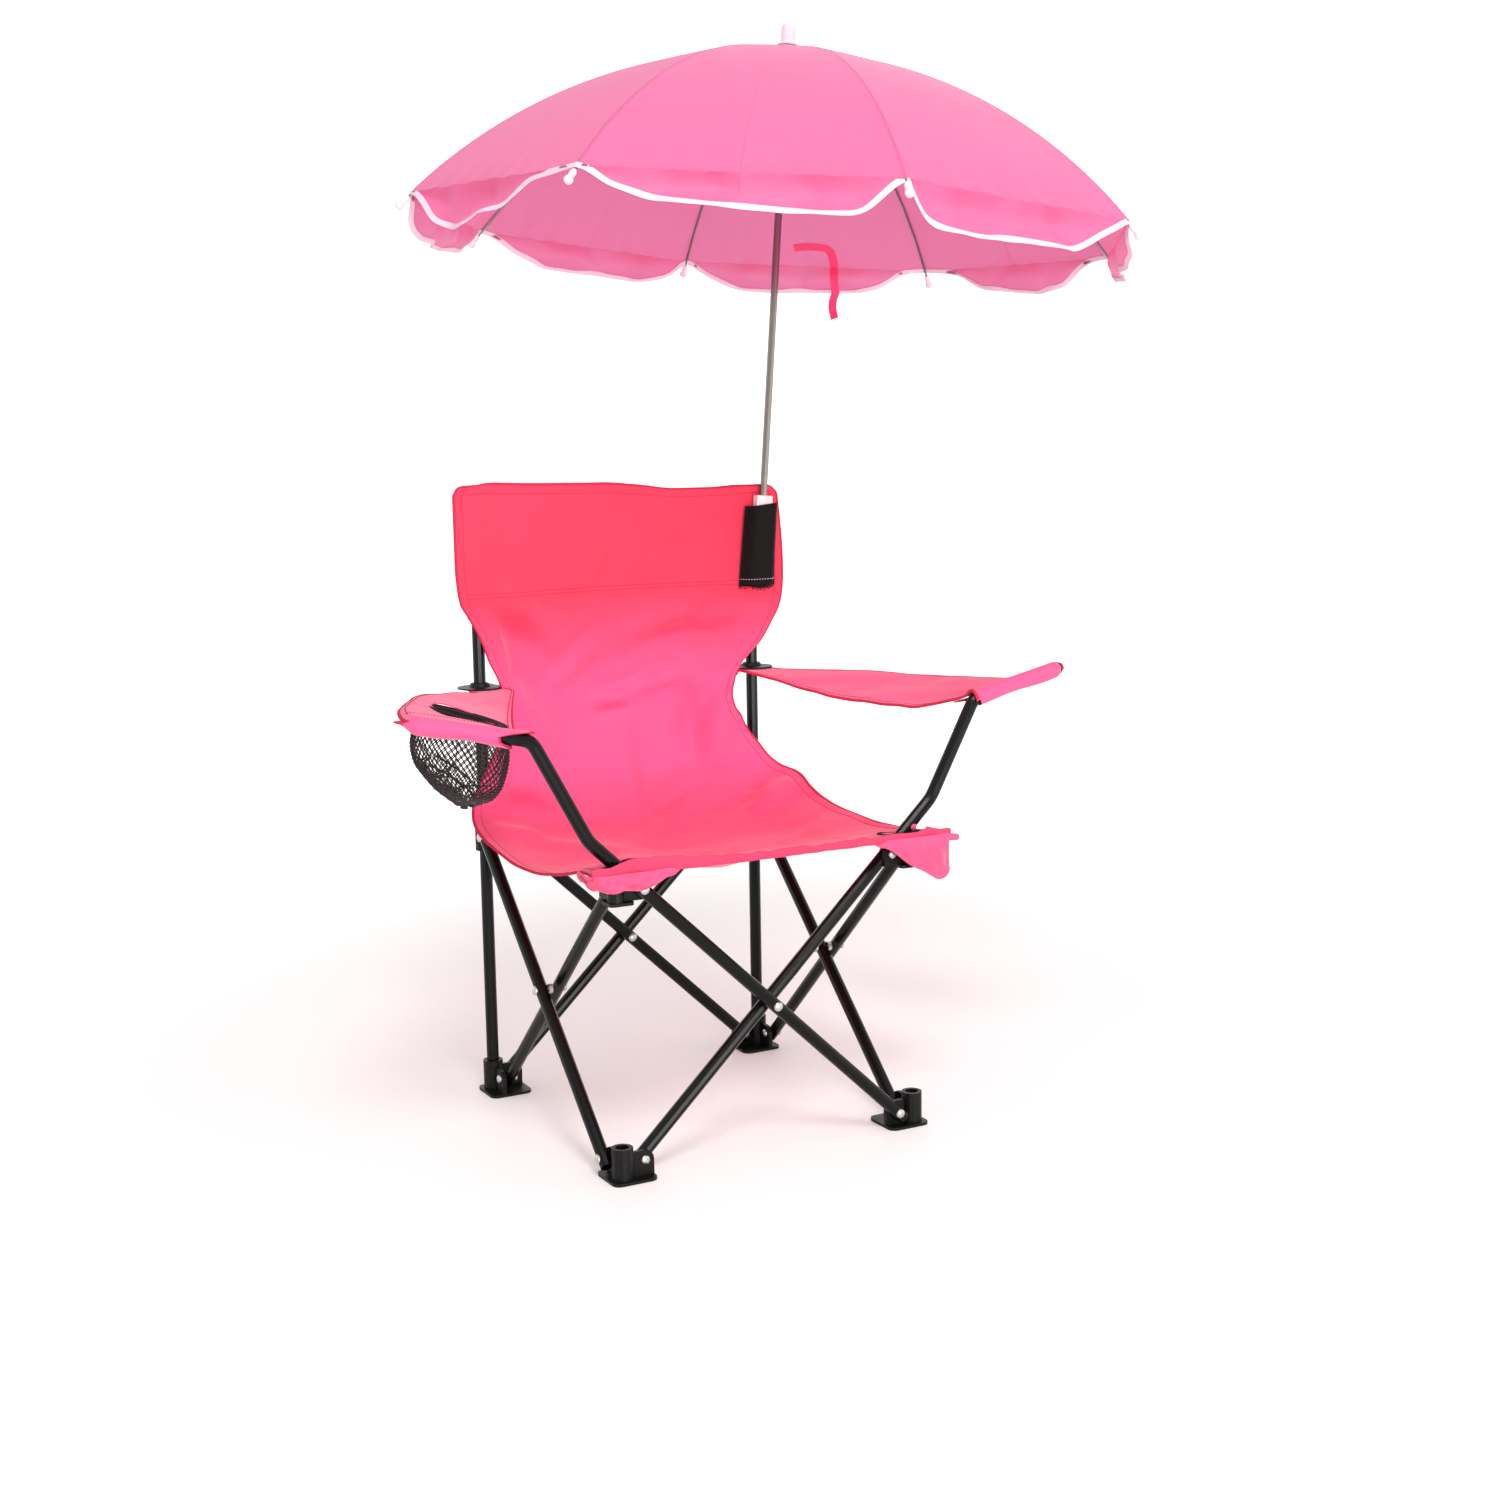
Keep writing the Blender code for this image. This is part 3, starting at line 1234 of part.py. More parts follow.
def make_pivots(assembly):
    """One empty for each moving body, on the axis of the joint that carries it."""
    ends = {name: tube_ends(name) for name in CROSS_TUBES}
    middle = {name: (low + high) / 2 for name, (low, high) in ends.items()}
    corner = {name: Vector((x * CORNER, y * CORNER, 0.0)) for name, (x, y, _) in CORNERS.items()}
    add = assembly.pivot
    add("foot_rear_right", corner["rear_right"])
    add("rear_tube_inner", ends["rear_tube_inner"][0], "foot_rear_right")
    add("hub_rear_left", ends["rear_tube_inner"][1], "rear_tube_inner")
    add("rear_tube_outer", middle["rear_tube_outer"], "rear_tube_inner")
    add("foot_rear_left", ends["rear_tube_outer"][0], "rear_tube_outer")
    add("hub_rear_right", ends["rear_tube_outer"][1], "rear_tube_outer")
    add("right_tube_outer", ends["right_tube_outer"][0], "foot_rear_right")
    add("hub_front_right", ends["right_tube_outer"][1], "right_tube_outer")
    add("right_tube_inner", middle["right_tube_inner"], "right_tube_outer")
    add("foot_front_right", ends["right_tube_inner"][0], "right_tube_inner")
    add("front_tube_to_left_arm", ends["front_tube_to_left_arm"][0], "foot_front_right")
    add("hub_front_left", ends["front_tube_to_left_arm"][1], "front_tube_to_left_arm")
    add("front_tube_to_right_arm", middle["front_tube_to_right_arm"], "front_tube_to_left_arm")
    add("foot_front_left", ends["front_tube_to_right_arm"][0], "front_tube_to_right_arm")
    add("left_tube_inner", ends["left_tube_inner"][0], "foot_rear_left")
    add("left_tube_outer", middle["left_tube_outer"], "left_tube_inner")
    add("seat_panel", (CORNER, SEAT_REAR, SEAT_HEIGHT), "hub_rear_right")
    add("seat_front_hem", (CORNER, -SEAT_FRONT, SEAT_HEIGHT), "hub_front_right")
    add("armrest_left", arm_front_line(-1)[0], "front_tube_to_left_arm")
    add("armrest_right", arm_front_line(1)[0], "front_tube_to_right_arm")
    add("cup_net", cup_swing_pivot(), "armrest_left")
    add("umbrella", shaft_axis()[0], "foot_rear_right")
    add("runner", on_umbrella(runner_height()), "umbrella")
    for number in range(RIB_COUNT):
        radius, height = stretcher_pivot()
        add(f"rib_{number + 1}", on_umbrella(CROWN_ABOVE_FOOT, NOTCH_RADIUS, rib_turn(number)), "umbrella")
        place = on_umbrella(height, radius, rib_turn(number))
        add(f"stretcher_{number + 1}", place, f"rib_{number + 1}")


def stand_on_centre(assembly):
    """Moves the whole chair so that the middle of its box's underside is the world's origin."""
    bpy.context.view_layer.update()
    graph = bpy.context.evaluated_depsgraph_get()
    corners = []
    for obj in assembly.parts.objects:
        if obj.type == "MESH":
            held = obj.evaluated_get(graph)
            corners += [held.matrix_world @ vertex.co for vertex in held.data.vertices]
    low = [min(corner[axis] for corner in corners) for axis in range(3)]
    high = [max(corner[axis] for corner in corners) for axis in range(3)]
    assembly.root.location = (-(low[0] + high[0]) / 2, -(low[1] + high[1]) / 2, -low[2])
    bpy.context.view_layer.update()


def main():
    clear_scene()
    assembly = Assembly()
    make_pivots(assembly)
    make_mouldings(assembly)
    for name in CROSS_TUBES:
        make_cross_tube(name, assembly)
    for name in CENTRE_RIVETS:
        make_centre_rivet(name, assembly)
    make_posts(assembly)
    make_back(assembly)
    make_seat(assembly)
    make_front_hem(assembly)
    for side in (-1, 1):
        make_arm(side, assembly)
    make_cup_net(assembly)
    make_umbrella_pocket(assembly)
    make_handle(assembly)
    make_shaft(assembly)
    make_crown(assembly)
    make_ferrule(assembly)
    make_runner(assembly)
    for number in range(RIB_COUNT):
        make_rib(number, assembly)
        make_stretcher(number, assembly)
    make_canopy(assembly)
    make_tie_strap(assembly)
    stand_on_centre(assembly)


main()
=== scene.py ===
"""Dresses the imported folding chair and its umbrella: cloth, net, webbing, trims, finishes, stage and camera.

Places are in the chair's own frame, in metres: the middle of the four corners on the floor, +X to the
viewer's right, the sitter facing -Y. CHAIR_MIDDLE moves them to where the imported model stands.
"""

import functools
import json
import math

import bpy
import numpy as np
from bpy.props import FloatProperty, FloatVectorProperty, PointerProperty
from mathutils import Matrix, Vector, noise
from mathutils.kdtree import KDTree


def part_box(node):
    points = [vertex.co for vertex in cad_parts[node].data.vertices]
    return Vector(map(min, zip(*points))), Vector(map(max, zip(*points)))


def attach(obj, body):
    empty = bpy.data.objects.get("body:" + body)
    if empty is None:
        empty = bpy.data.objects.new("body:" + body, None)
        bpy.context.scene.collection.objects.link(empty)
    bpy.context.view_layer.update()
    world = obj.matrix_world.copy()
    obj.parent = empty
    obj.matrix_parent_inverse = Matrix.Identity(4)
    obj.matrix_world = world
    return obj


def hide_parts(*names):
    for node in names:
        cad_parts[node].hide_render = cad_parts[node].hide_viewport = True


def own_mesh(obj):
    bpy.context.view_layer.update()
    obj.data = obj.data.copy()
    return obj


bl_info = {
    "name": "Folding Chair With Umbrella",
    "version": (1, 0, 0),
    "blender": (4, 5, 0),
    "location": "View3D > Sidebar > Chair",
    "description": "Builds the cloth, net, trims, finishes and stage round the packed folding chair",
    "category": "Object",
}

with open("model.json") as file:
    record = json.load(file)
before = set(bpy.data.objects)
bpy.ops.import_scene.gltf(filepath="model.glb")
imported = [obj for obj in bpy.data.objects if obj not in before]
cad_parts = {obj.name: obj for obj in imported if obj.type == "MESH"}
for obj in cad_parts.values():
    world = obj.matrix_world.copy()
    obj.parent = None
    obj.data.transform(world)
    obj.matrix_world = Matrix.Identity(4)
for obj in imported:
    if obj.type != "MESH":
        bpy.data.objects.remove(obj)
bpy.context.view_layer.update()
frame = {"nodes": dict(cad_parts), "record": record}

# The frame's own sizes
CORNER = 0.1632
HUB_PIVOT = 0.2834
FOOT_PIVOT = 0.018
PIVOT_SPAN = CORNER - 0.023
TUBE_RADIUS = 0.0065
SHOULDER = 0.0021  # of a rivet, which keeps its two tubes apart
GAP = 0.0003
TUBE_LAYER = SHOULDER + GAP + TUBE_RADIUS  # from a frame's middle plane to the middle of a tube
POST_TOP = 0.636
COLLAR_HEIGHT = 0.4385
COLLAR_RADIUS = 0.0238
RIVET_HEAD = 0.0046
RIVET_RISE = 0.0022

# Cloth
CLOTH = 0.0016
BACK_PLANE = CORNER - TUBE_RADIUS - 0.0006 - CLOTH / 2
BACK_TOP = 0.647
BACK_HOLLOW = 0.030
SLEEVE_BOTTOM = 0.512
SEAM_MIDDLE = 0.285
SEAT_FRONT = 0.183
SEAT_REAR = 0.146
SEAT_HEIGHT = HUB_PIVOT + 0.0151
SEAT_HALF_WIDTH = 0.185
SEAT_SAG = 0.026
SEAT_EDGE_SAG = 0.010
SEAT_HELD = 0.11
# Half widths of the back by height, on the left and on the right: the worn cloth isn't even
BACK_EDGES = {
    -1: (
        (0.3065, 0.187), (0.330, 0.178), (0.355, 0.163), (0.385, 0.147), (0.410, 0.1415), (0.4424, 0.1459),
        (0.4653, 0.1551), (0.4901, 0.1643), (0.5117, 0.1757), (0.5279, 0.185), (0.5436, 0.1877),
        (0.5644, 0.1891), (0.647, 0.1893),
    ),
    1: (
        (0.3262, 0.187), (0.3392, 0.1738), (0.3509, 0.1674), (0.3629, 0.1573), (0.3748, 0.1493),
        (0.3866, 0.1433), (0.3984, 0.1362), (0.4097, 0.1343), (0.4263, 0.1375), (0.4449, 0.1455),
        (0.4533, 0.1546), (0.4691, 0.1715), (0.4908, 0.186), (0.5072, 0.1953), (0.5239, 0.1994),
        (0.5463, 0.201), (0.5743, 0.2002), (0.6023, 0.198), (0.6246, 0.1958), (0.647, 0.194),
    ),
}
# The roundness of the back's top corners, the rise of its top line, its hollow and how far its seam is ahead
BACK_CORNERS = {-1: 0.013, 1: 0.017}
BACK_TOP_LINE = (
    (-1.0, 0.0036), (-0.95, 0.0038), (-0.83, 0.0060), (-0.59, 0.0044), (-0.345, 0.0036), (-0.10, 0.0030),
    (0.14, -0.0004), (0.38, -0.0052), (0.62, -0.0057), (0.81, -0.0040), (1.0, -0.0040),
)
BACK_HOLLOWS = ((0.0, 0.0), (0.35, 1.0), (0.75, 0.45), (1.0, 0.12))
BACK_FORWARDS = ((0.0, 1.0), (0.16, 0.25), (0.32, 0.0))
# Half width and height of the seat's two side edges from the front (0) to the seam (1)
SEAT_EDGES = {
    -1: (
        (0.0, 0.196, 0.3003), (0.12, 0.191, 0.2965), (0.34, 0.188, 0.2835), (0.50, 0.187, 0.2765),
        (0.63, 0.187, 0.2760), (0.74, 0.187, 0.2800), (0.85, 0.188, 0.2860), (0.94, 0.189, 0.2965),
        (1.0, 0.187, 0.3065),
    ),
    1: (
        (0.0, 0.197, 0.3010), (0.20, 0.190, 0.2950), (0.36, 0.187, 0.2950), (0.48, 0.187, 0.2965),
        (0.60, 0.187, 0.2995), (0.70, 0.187, 0.3055), (0.78, 0.188, 0.3130), (0.86, 0.192, 0.3215),
        (0.93, 0.195, 0.3245), (1.0, 0.187, 0.3262),
    ),
}

LIP = 3  # columns of the grid in a hem's rolled lip
STITCHED = 6  # the column of the grid that a hem's stitches follow
SHARP_ANGLE = math.radians(40)
EDGE_SLOT = 3  # the edging's place in a cloth's list of materials
BLACK_EDGING = "#171112"
# Outline of the tape round the seat's slits, and the place of its one end that stands up
SLIT_TAPE = ((-0.0018, -0.0013), (0.0018, -0.0014), (0.0022, 0.0), (0.0018, 0.0014), (-0.0018, 0.0013), (-0.0024, 0))
SLIT_TAB = (0.1686, -0.1574, 0.3075)
HUBS = ("hub_front_left", "hub_front_right", "hub_rear_left", "hub_rear_right")

# Arms
HEM_RADIUS = TUBE_RADIUS + 0.0012
ARM_PAST_POST = 0.0285
# How each arm's two edges run from the hem to the post, for its inner and outer edge: overhang past the bar,
# power of the curve, sag, and how far forward the sag is
ARM_EDGES = {
    -1: ((0.012, 1.3, 0.015, 0.9), (0.012, 1.6, -0.010, 1.25)),
    1: ((0.014, 1.0, 0.023, 0.7), (0.004, 1.9, 0.016, 0.5)),
}
# How far along its bar the left arm's hem starts, row by row round it: its mouth gapes where the tube goes in
MOUTH = (0.14, 0.14, 0.14, 0.14, 0.15, 0.20, 0.27, 0.29, 0.18, 0.05, 0.0)
ARM_STRAIGHT = 0.073
ARM_RISE = (0.1115, math.radians(61.5))
ARM_BAR = (0.108, math.radians(12.3))
ARM_TURN = 0.019 * math.tan((ARM_RISE[1] - ARM_BAR[1]) / 2)  # from the bend's point to where it starts
CUP_RADIUS = 0.035
CUP_FROM_FRONT = 0.108
CUP_ACROSS = 0.45
NET_DEPTH = 0.086
# The net's radius by share of its depth
NET_RADII = ((0, 0.0345), (0.14, 0.0440), (0.35, 0.0465), (0.62, 0.0430), (0.84, 0.0310), (1.0, 0.0100))

# Umbrella
SHAFT_LEAN = math.radians(4.5)
# In front of the back's cloth: a gap, the pocket's webbing, a gap and the handle's radius
SHAFT_FOOT = Vector((0.1664, BACK_PLANE - CLOTH / 2 - GAP - 0.0015 - GAP - 0.0055, 0.556))
CROWN_HEIGHT = 0.549
NOTCH_RADIUS = 0.0075
RIB_REACH = 0.396
RIB_DROP = 0.190
RIB_BULGE = math.radians(22)
RIB_PHASE = math.radians(-12.5)
RIB_COUNT = 8
RIB_RADIUS = 0.0014
# A rib tip's radius by how far it is past the rib's end
TIP = (
    (-0.004, 0.0019), (-0.001, 0.0033), (0.0, 0.0034), (0.004, 0.0032), (0.007, 0.0034), (0.0085, 0.0044),
    (0.0105, 0.0047), (0.0125, 0.0040), (0.0138, 0.0022), (0.0142, 0.0003),
)
GORE = 2 * math.pi / RIB_COUNT
# How far the hem of each gore hangs below the ribs' ends, from one rib to the next, in metres
HANGS = (
    ((0, 0), (0.05, 0.005), (0.14, 0.024), (0.24, 0.040), (0.32, 0.044), (0.40, 0.039), (0.50, 0.032), (0.60, 0.029),
     (0.68, 0.018), (0.76, 0.008), (0.88, 0.004), (1, 0)),
    ((0, 0), (0.03, 0.002), (0.063, 0.010), (0.10, 0.0165), (0.16, 0.022), (0.22, 0.028), (0.33, 0.030),
     (0.51, 0.033), (0.75, 0.036), (0.87, 0.035), (0.91, 0.027), (0.95, 0.014), (0.98, 0.005), (1, 0)),
    ((0, 0), (0.02, 0.007), (0.035, 0.018), (0.06, 0.030), (0.10, 0.037), (0.16, 0.041), (0.30, 0.043), (0.43, 0.040),
     (0.58, 0.039), (0.72, 0.040), (0.835, 0.027), (0.95, 0.009), (1, 0)),
    ((0, 0), (0.05, 0.008), (0.12, 0.024), (0.30, 0.037), (0.60, 0.038), (0.85, 0.027), (0.95, 0.009), (1, 0)),
    ((0, 0), (0.07, 0.001), (0.16, 0.013), (0.22, 0.028), (0.35, 0.034), (0.525, 0.030), (0.68, 0.025), (0.76, 0.015),
     (0.83, 0.006), (0.96, 0.001), (1, 0)),
    ((0, 0), (0.07, 0.002), (0.13, 0.012), (0.19, 0.024), (0.26, 0.028), (0.46, 0.031), (0.64, 0.033), (0.78, 0.031),
     (0.89, 0.020), (0.97, 0.006), (1, 0)),
    ((0, 0), (0.04, 0.012), (0.10, 0.024), (0.25, 0.032), (0.49, 0.032), (0.68, 0.031), (0.85, 0.018), (0.94, 0.004),
     (1, 0)),
    ((0, 0), (0.05, 0.006), (0.12, 0.020), (0.30, 0.035), (0.64, 0.041), (0.84, 0.039), (0.93, 0.022), (1, 0)),
)
# The tie strap's way inside the canopy, as (share of a gore, level)
STRAP = (
    (5.550, 0.920), (5.500, 0.915), (5.455, 0.915), (5.415, 0.916), (5.390, 0.924), (5.377, 0.945), (5.374, 0.975),
    (5.370, 1.280), (5.366, 1.680), (5.365, 1.960),
)

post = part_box("rear_post_right"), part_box("rear_post_left")
CHAIR_MIDDLE = Vector(
    (
        (post[0][0][0] + post[0][1][0] + post[1][0][0] + post[1][1][0]) / 4,
        (post[0][0][1] + post[0][1][1]) / 2 - CORNER,
        0.0,
    )
)


def linear(code):
    """An sRGB hex colour as linear values."""
    values = [int(code[i : i + 2], 16) / 255 for i in (1, 3, 5)]
    return tuple(v / 12.92 if v <= 0.04045 else ((v + 0.055) / 1.055) ** 2.4 for v in values)


def colour(name, text, code):
    base = linear(code)
    return FloatVectorProperty(name=name, description=text, subtype="COLOR", size=3, min=0, max=1, default=base)


def length(name, text, value, low=0.0, high=1.0):
    return FloatProperty(
        name=name, description=text, default=value, min=low, max=high, unit="LENGTH", subtype="DISTANCE", precision=5
    )


class ChairCloth(bpy.types.PropertyGroup):
    """The sewn cloth of the seat, back and arms."""

    cloth: colour("Cloth", "Colour of the seat's cloth", "#F84E7D")
    # pale and doubled paint light and shade: pale is painted light on the arms and lower back, doubled is painted
    # shade on the back above its seam
    pale: colour("Pale cloth", "Colour of the single cloth of the arms and lower back", "#FA568E")
    doubled: colour("Doubled cloth", "Colour of the cloth above the back's seam, where it is doubled", "#F43658")
    roll: colour("Roll", "Colour of the seat's rolled front hem", "#EA4166")
    # The edges are drawn a darker red than the cloth along their rolled lips
    edge: colour("Edge", "Colour of the cloth's doubled edges", "#CF2B4C")
    # The thread is drawn darker red than the cloth: real stitches, with painted shade along each stitched line
    thread: colour("Thread", "Colour of the sewing thread", "#CB2A4D")
    hem: length("Hem", "Width of the hem band along free edges", 0.010, 0.004, 0.02)
    hem_lift: length("Hem lift", "How much thicker a hem is, each side", 0.0004, 0.0, 0.002)
    weave: length("Weave", "Spacing of the threads as drawn", 0.0018, 0.0005, 0.01)
    stitch: length("Stitch", "Length of one stitch", 0.0032, 0.002, 0.01)
    fold: FloatProperty(name="Folds", description="Depth of the cloth's folds", default=2.6, min=0.0, max=4.0)
    fold_width: FloatProperty(name="Fold width", description="Width of the folds", default=1.6, min=0.5, max=3.0)


class UmbrellaLook(bpy.types.PropertyGroup):
    """The umbrella's cloth and trims."""

    canopy: colour("Canopy", "Colour of the thin canopy cloth", "#FF5B90")
    binding: colour("Binding", "Colour of the tape round the hem", "#FDDCF0")
    strap: colour("Strap", "Colour of the tie strap", "#FF4A82")
    plastic: colour("Plastic", "Colour of the ferrule and tips", "#FBDDEA")
    handle: colour("Handle", "Colour of the handle", "#FFEFEF")
    tape: length("Tape", "Width of the binding tape", 0.0052, 0.002, 0.02)


class FrameLook(bpy.types.PropertyGroup):
    """Finishes of the metal, plastic, webbing and net."""

    enamel: colour("Enamel", "Colour of the tubes", "#080807")
    plastic: colour("Plastic", "Colour of the feet, hubs and collars", "#0D0D0C")
    zinc: colour("Zinc", "Colour of the rivets", "#C4C4C2")
    chrome: colour("Chrome", "Colour of the shaft and ribs", "#857F7B")
    webbing: colour("Webbing", "Colour of the umbrella's pocket", "#0C0C0B")
    net: colour("Net", "Colour of the net's cord", "#1C1013")
    mesh: length("Net mesh", "Size of one net opening", 0.0057, 0.003, 0.02)
    cord: length("Net cord", "Thickness of the net's cord", 0.0011, 0.0003, 0.003)


class StageLook(bpy.types.PropertyGroup):
    """The floor, backdrop and lights."""

    floor: colour("Floor", "Colour of the floor and the backdrop", "#F4F2F1")
    key: FloatProperty(name="Key light", description="Power of the key light in watts", default=46.0, min=0.0)
    fill: FloatProperty(name="Fill light", description="Power of the fill light in watts", default=52.0, min=0.0)
    sky: FloatProperty(name="Sky", description="Strength of the surrounding light", default=0.62, min=0.0)


# Meshes


def eased(table, value):
    """Reads a rising table of (position, level) smoothly, without overshoot, for a number or an array."""
    places = np.array([row[0] for row in table], float)
    levels = np.array([row[1] for row in table], float)
    steps = np.diff(places)
    slopes = np.diff(levels) / steps
    before, after = slopes[:-1], slopes[1:]
    same = before * after > 0
    inner = np.where(same, 2 * before * after / np.where(same, before + after, 1.0), 0.0)
    lean = np.concatenate([slopes[:1], inner, slopes[-1:]])
    value = np.clip(np.asarray(value, float), places[0], places[-1])
    at = np.clip(np.searchsorted(places, value, side="right") - 1, 0, len(places) - 2)
    t = (value - places[at]) / steps[at]
    start = levels[at] * (1 + 2 * t) * (1 - t) ** 2 + lean[at] * steps[at] * t * (1 - t) ** 2
    return start + levels[at + 1] * t * t * (3 - 2 * t) + lean[at + 1] * steps[at] * t * t * (t - 1)


def sided(tables, side, value):
    """Reads the left or the right of a pair of tables, by the sign of side."""
    return np.where(np.asarray(side) < 0, eased(tables[-1], value), eased(tables[1], value))


def unit(vectors):
    size = np.linalg.norm(vectors, axis=-1, keepdims=True)
    return vectors / np.maximum(size, 1e-12)


def grid_normals(points):
    """Unit normals of a grid of points, rows by columns: across x along."""
    across = np.gradient(points, axis=1)
    along = np.gradient(points, axis=0)
    return unit(np.cross(across, along))


def arc_lengths(points, axis):
    steps = np.linalg.norm(np.diff(points, axis=axis), axis=-1)
    start = np.zeros_like(np.take(steps, [0], axis=axis))
    return np.concatenate([start, np.cumsum(steps, axis=axis)], axis=axis)


def quads(ids):
    """The four corners of each cell in a grid of point numbers."""
    return np.stack([ids[:-1, :-1], ids[:-1, 1:], ids[1:, 1:], ids[1:, :-1]], -1)


def placed(name, data):
    """A new object in the scene with this mesh, curve, lamp or camera."""
    obj = bpy.data.objects.new(name, data)
    bpy.context.scene.collection.objects.link(obj)
    return obj


class Pile:
    """Collects points and faces, with one UV place in metres for each point, for one piece."""

    def __init__(self):
        self.points, self.faces, self.slots, self.places, self.count = [], [], [], [], 0

    def add(self, points, faces, slot=0, places=None):
        points = np.asarray(points, float).reshape(-1, 3)
        if places is None:
            places = points[:, :2]
        self.points.append(points)
        self.places.append(np.asarray(places, float).reshape(-1, 2))
        self.faces += [tuple(int(i) + self.count for i in face) for face in faces]
        self.slots += [slot] * len(faces) if isinstance(slot, int) else [int(kind) for kind in slot]
        self.count += len(points)

    def shell(self, points, half, slot=0, normals=None, places=None, around=False):
        """A closed cloth wall: a grid of points made thick by half to each side, perhaps closed around its rows."""
        rows, columns = points.shape[:2]
        normals = grid_normals(points) if normals is None else normals
        half = np.broadcast_to(half, (rows, columns))[..., None]
        if places is None:
            places = np.stack([arc_lengths(points, 1), arc_lengths(points, 0)], -1)
        ids = np.arange(rows * columns).reshape(rows, columns)
        if around:
            ids = np.concatenate([ids, ids[:, :1]], 1)
        low = rows * columns
        top = quads(ids)
        slot = np.broadcast_to(slot, top.shape[:2])
        top = top.reshape(-1, 4)
        faces = [*top, *(top[:, ::-1] + low)]
        slots = [*slot.ravel(), *slot.ravel()]
        loops = [(ids[0], 1, slot[0]), (ids[-1], -1, slot[-1])]
        if not around:
            loops += [(ids[:, 0], -1, slot[:, 0]), (ids[:, -1], 1, slot[:, -1])]
        for line, sign, kinds in loops:
            first, second = (line[1:], line[:-1]) if sign > 0 else (line[:-1], line[1:])
            faces += [*np.stack([first, second, second + low, first + low], -1)]
            slots += [*kinds]
        both = np.concatenate([points + normals * half, points - normals * half])
        self.add(both, faces, slots, np.concatenate([places, places]))
        return normals

    def sweep(self, path, across, up, profile, slot=0, closed=False, scale=None):
        """A closed profile of (across, up) points carried along a path, closed on itself or capped."""
        path, across, up = (np.asarray(v, float) for v in (path, across, up))
        profile = np.asarray(profile, float)
        size = np.ones(len(path)) if scale is None else np.asarray(scale, float)
        rings = path[:, None] + (
            across[:, None] * profile[None, :, :1] + up[:, None] * profile[None, :, 1:]
        ) * size[:, None, None]
        count, sides = rings.shape[:2]
        ids = np.arange(count * sides).reshape(count, sides)
        faces = []
        for i in range(count if closed else count - 1):
            here, there = ids[i], ids[(i + 1) % count]
            faces += zip(here, there, np.roll(there, -1), np.roll(here, -1))
        if not closed:
            faces += [tuple(ids[0]), tuple(ids[-1][::-1])]
        run = np.concatenate([[0], np.cumsum(np.linalg.norm(np.diff(path, axis=0), axis=1))])
        girth = np.concatenate([[0], np.cumsum(np.linalg.norm(np.diff(profile, axis=0), axis=1))])
        places = np.stack(np.broadcast_arrays(girth[None, :], run[:, None]), -1)
        self.add(rings, faces, slot, places)

    def tube(self, path, radius, sides=8, slot=0, closed=False):
        """A round cord along a path; radius is a number or one for each point."""
        path = np.asarray(path, float)
        along = unit(np.gradient(path, axis=0))
        if closed:
            along = unit(np.roll(path, -1, 0) - np.roll(path, 1, 0))
        seed = np.array([0.0, 0.0, 1.0]) if abs(along[0][2]) < 0.9 else np.array([1.0, 0.0, 0.0])
        across = [unit(np.cross(along[0], seed))]
        for direction in along[1:]:
            across.append(unit(across[-1] - direction * (across[-1] @ direction)))
        across = np.array(across)
        up = np.cross(across, along)
        turns = np.linspace(0, 2 * math.pi, sides, endpoint=False)
        ring = np.stack([np.cos(turns), np.sin(turns)], -1)
        self.sweep(path, across, up, ring, slot, closed, np.broadcast_to(radius, len(path)))

    def make(self, name, materials):
        """The piece, standing at the origin with its place in its mesh and faces pointing outwards."""
        mesh = bpy.data.meshes.new(name)
        points = np.concatenate(self.points) + np.array(CHAIR_MIDDLE)
        mesh.from_pydata(points, [], self.faces)
        mesh.polygons.foreach_set("material_index", self.slots)
        layer = mesh.uv_layers.new(name="cloth")
        loops = np.empty(len(mesh.loops), np.int32)
        mesh.loops.foreach_get("vertex_index", loops)
        layer.data.foreach_set("uv", np.concatenate(self.places)[loops].astype(np.float32).ravel())
        for material in materials:
            mesh.materials.append(material)
        mesh.update()
        mesh.shade_smooth()
        mesh.set_sharp_from_angle(angle=SHARP_ANGLE)
        return placed(name, mesh)


def plain_mesh(obj):
    """Turns an object with modifiers into the plain mesh that it evaluates to."""
    bpy.context.view_layer.update()
    mesh = bpy.data.meshes.new_from_object(obj.evaluated_get(bpy.context.evaluated_depsgraph_get()))
    obj.modifiers.clear()
    if obj.type == "MESH":
        old, obj.data = obj.data, mesh
        mesh.name = obj.name
        bpy.data.meshes.remove(old)
        return obj
    name = obj.name
    bpy.data.objects.remove(obj, do_unlink=True)
    return placed(name, mesh)


def cut(obj, cutters):
    """Cuts closed meshes out of a piece."""
    for cutter in cutters:
        modifier = obj.modifiers.new("Cut", "BOOLEAN")
        modifier.operation = "DIFFERENCE"
        modifier.solver = "EXACT"
        modifier.object = cutter
    plain_mesh(obj)
    for cutter in cutters:
        bpy.data.objects.remove(cutter, do_unlink=True)
    obj.data.set_sharp_from_angle(angle=SHARP_ANGLE)
    return obj


def join(name, pieces):
    """One piece out of several, which keep their materials and UV places."""
    chosen = {"active_object": pieces[0], "selected_editable_objects": pieces, "selected_objects": pieces}
    with bpy.context.temp_override(**chosen):
        bpy.ops.object.join()
    pieces[0].name = name
    pieces[0].data.name = name
    return pieces[0]


def keep_normals(obj, places, normals, within=0.0012):
    """Along a cut between two pieces of one cloth, gives both the normals of the whole cloth, so no line shows."""
    tree = KDTree(len(places))
    for i, place in enumerate(places):
        tree.insert(Vector(place) + CHAIR_MIDDLE, i)
    tree.balance()
    custom = []
    for vertex in obj.data.vertices:
        _, i, far = tree.find(vertex.co)
        normal = Vector(normals[i])
        side = vertex.normal.dot(normal)
        near = far < within and abs(side) > 0.3
        custom.append(normal * math.copysign(1, side) if near else Vector((0, 0, 0)))
    obj.data.normals_split_custom_set_from_vertices(custom)


# Materials


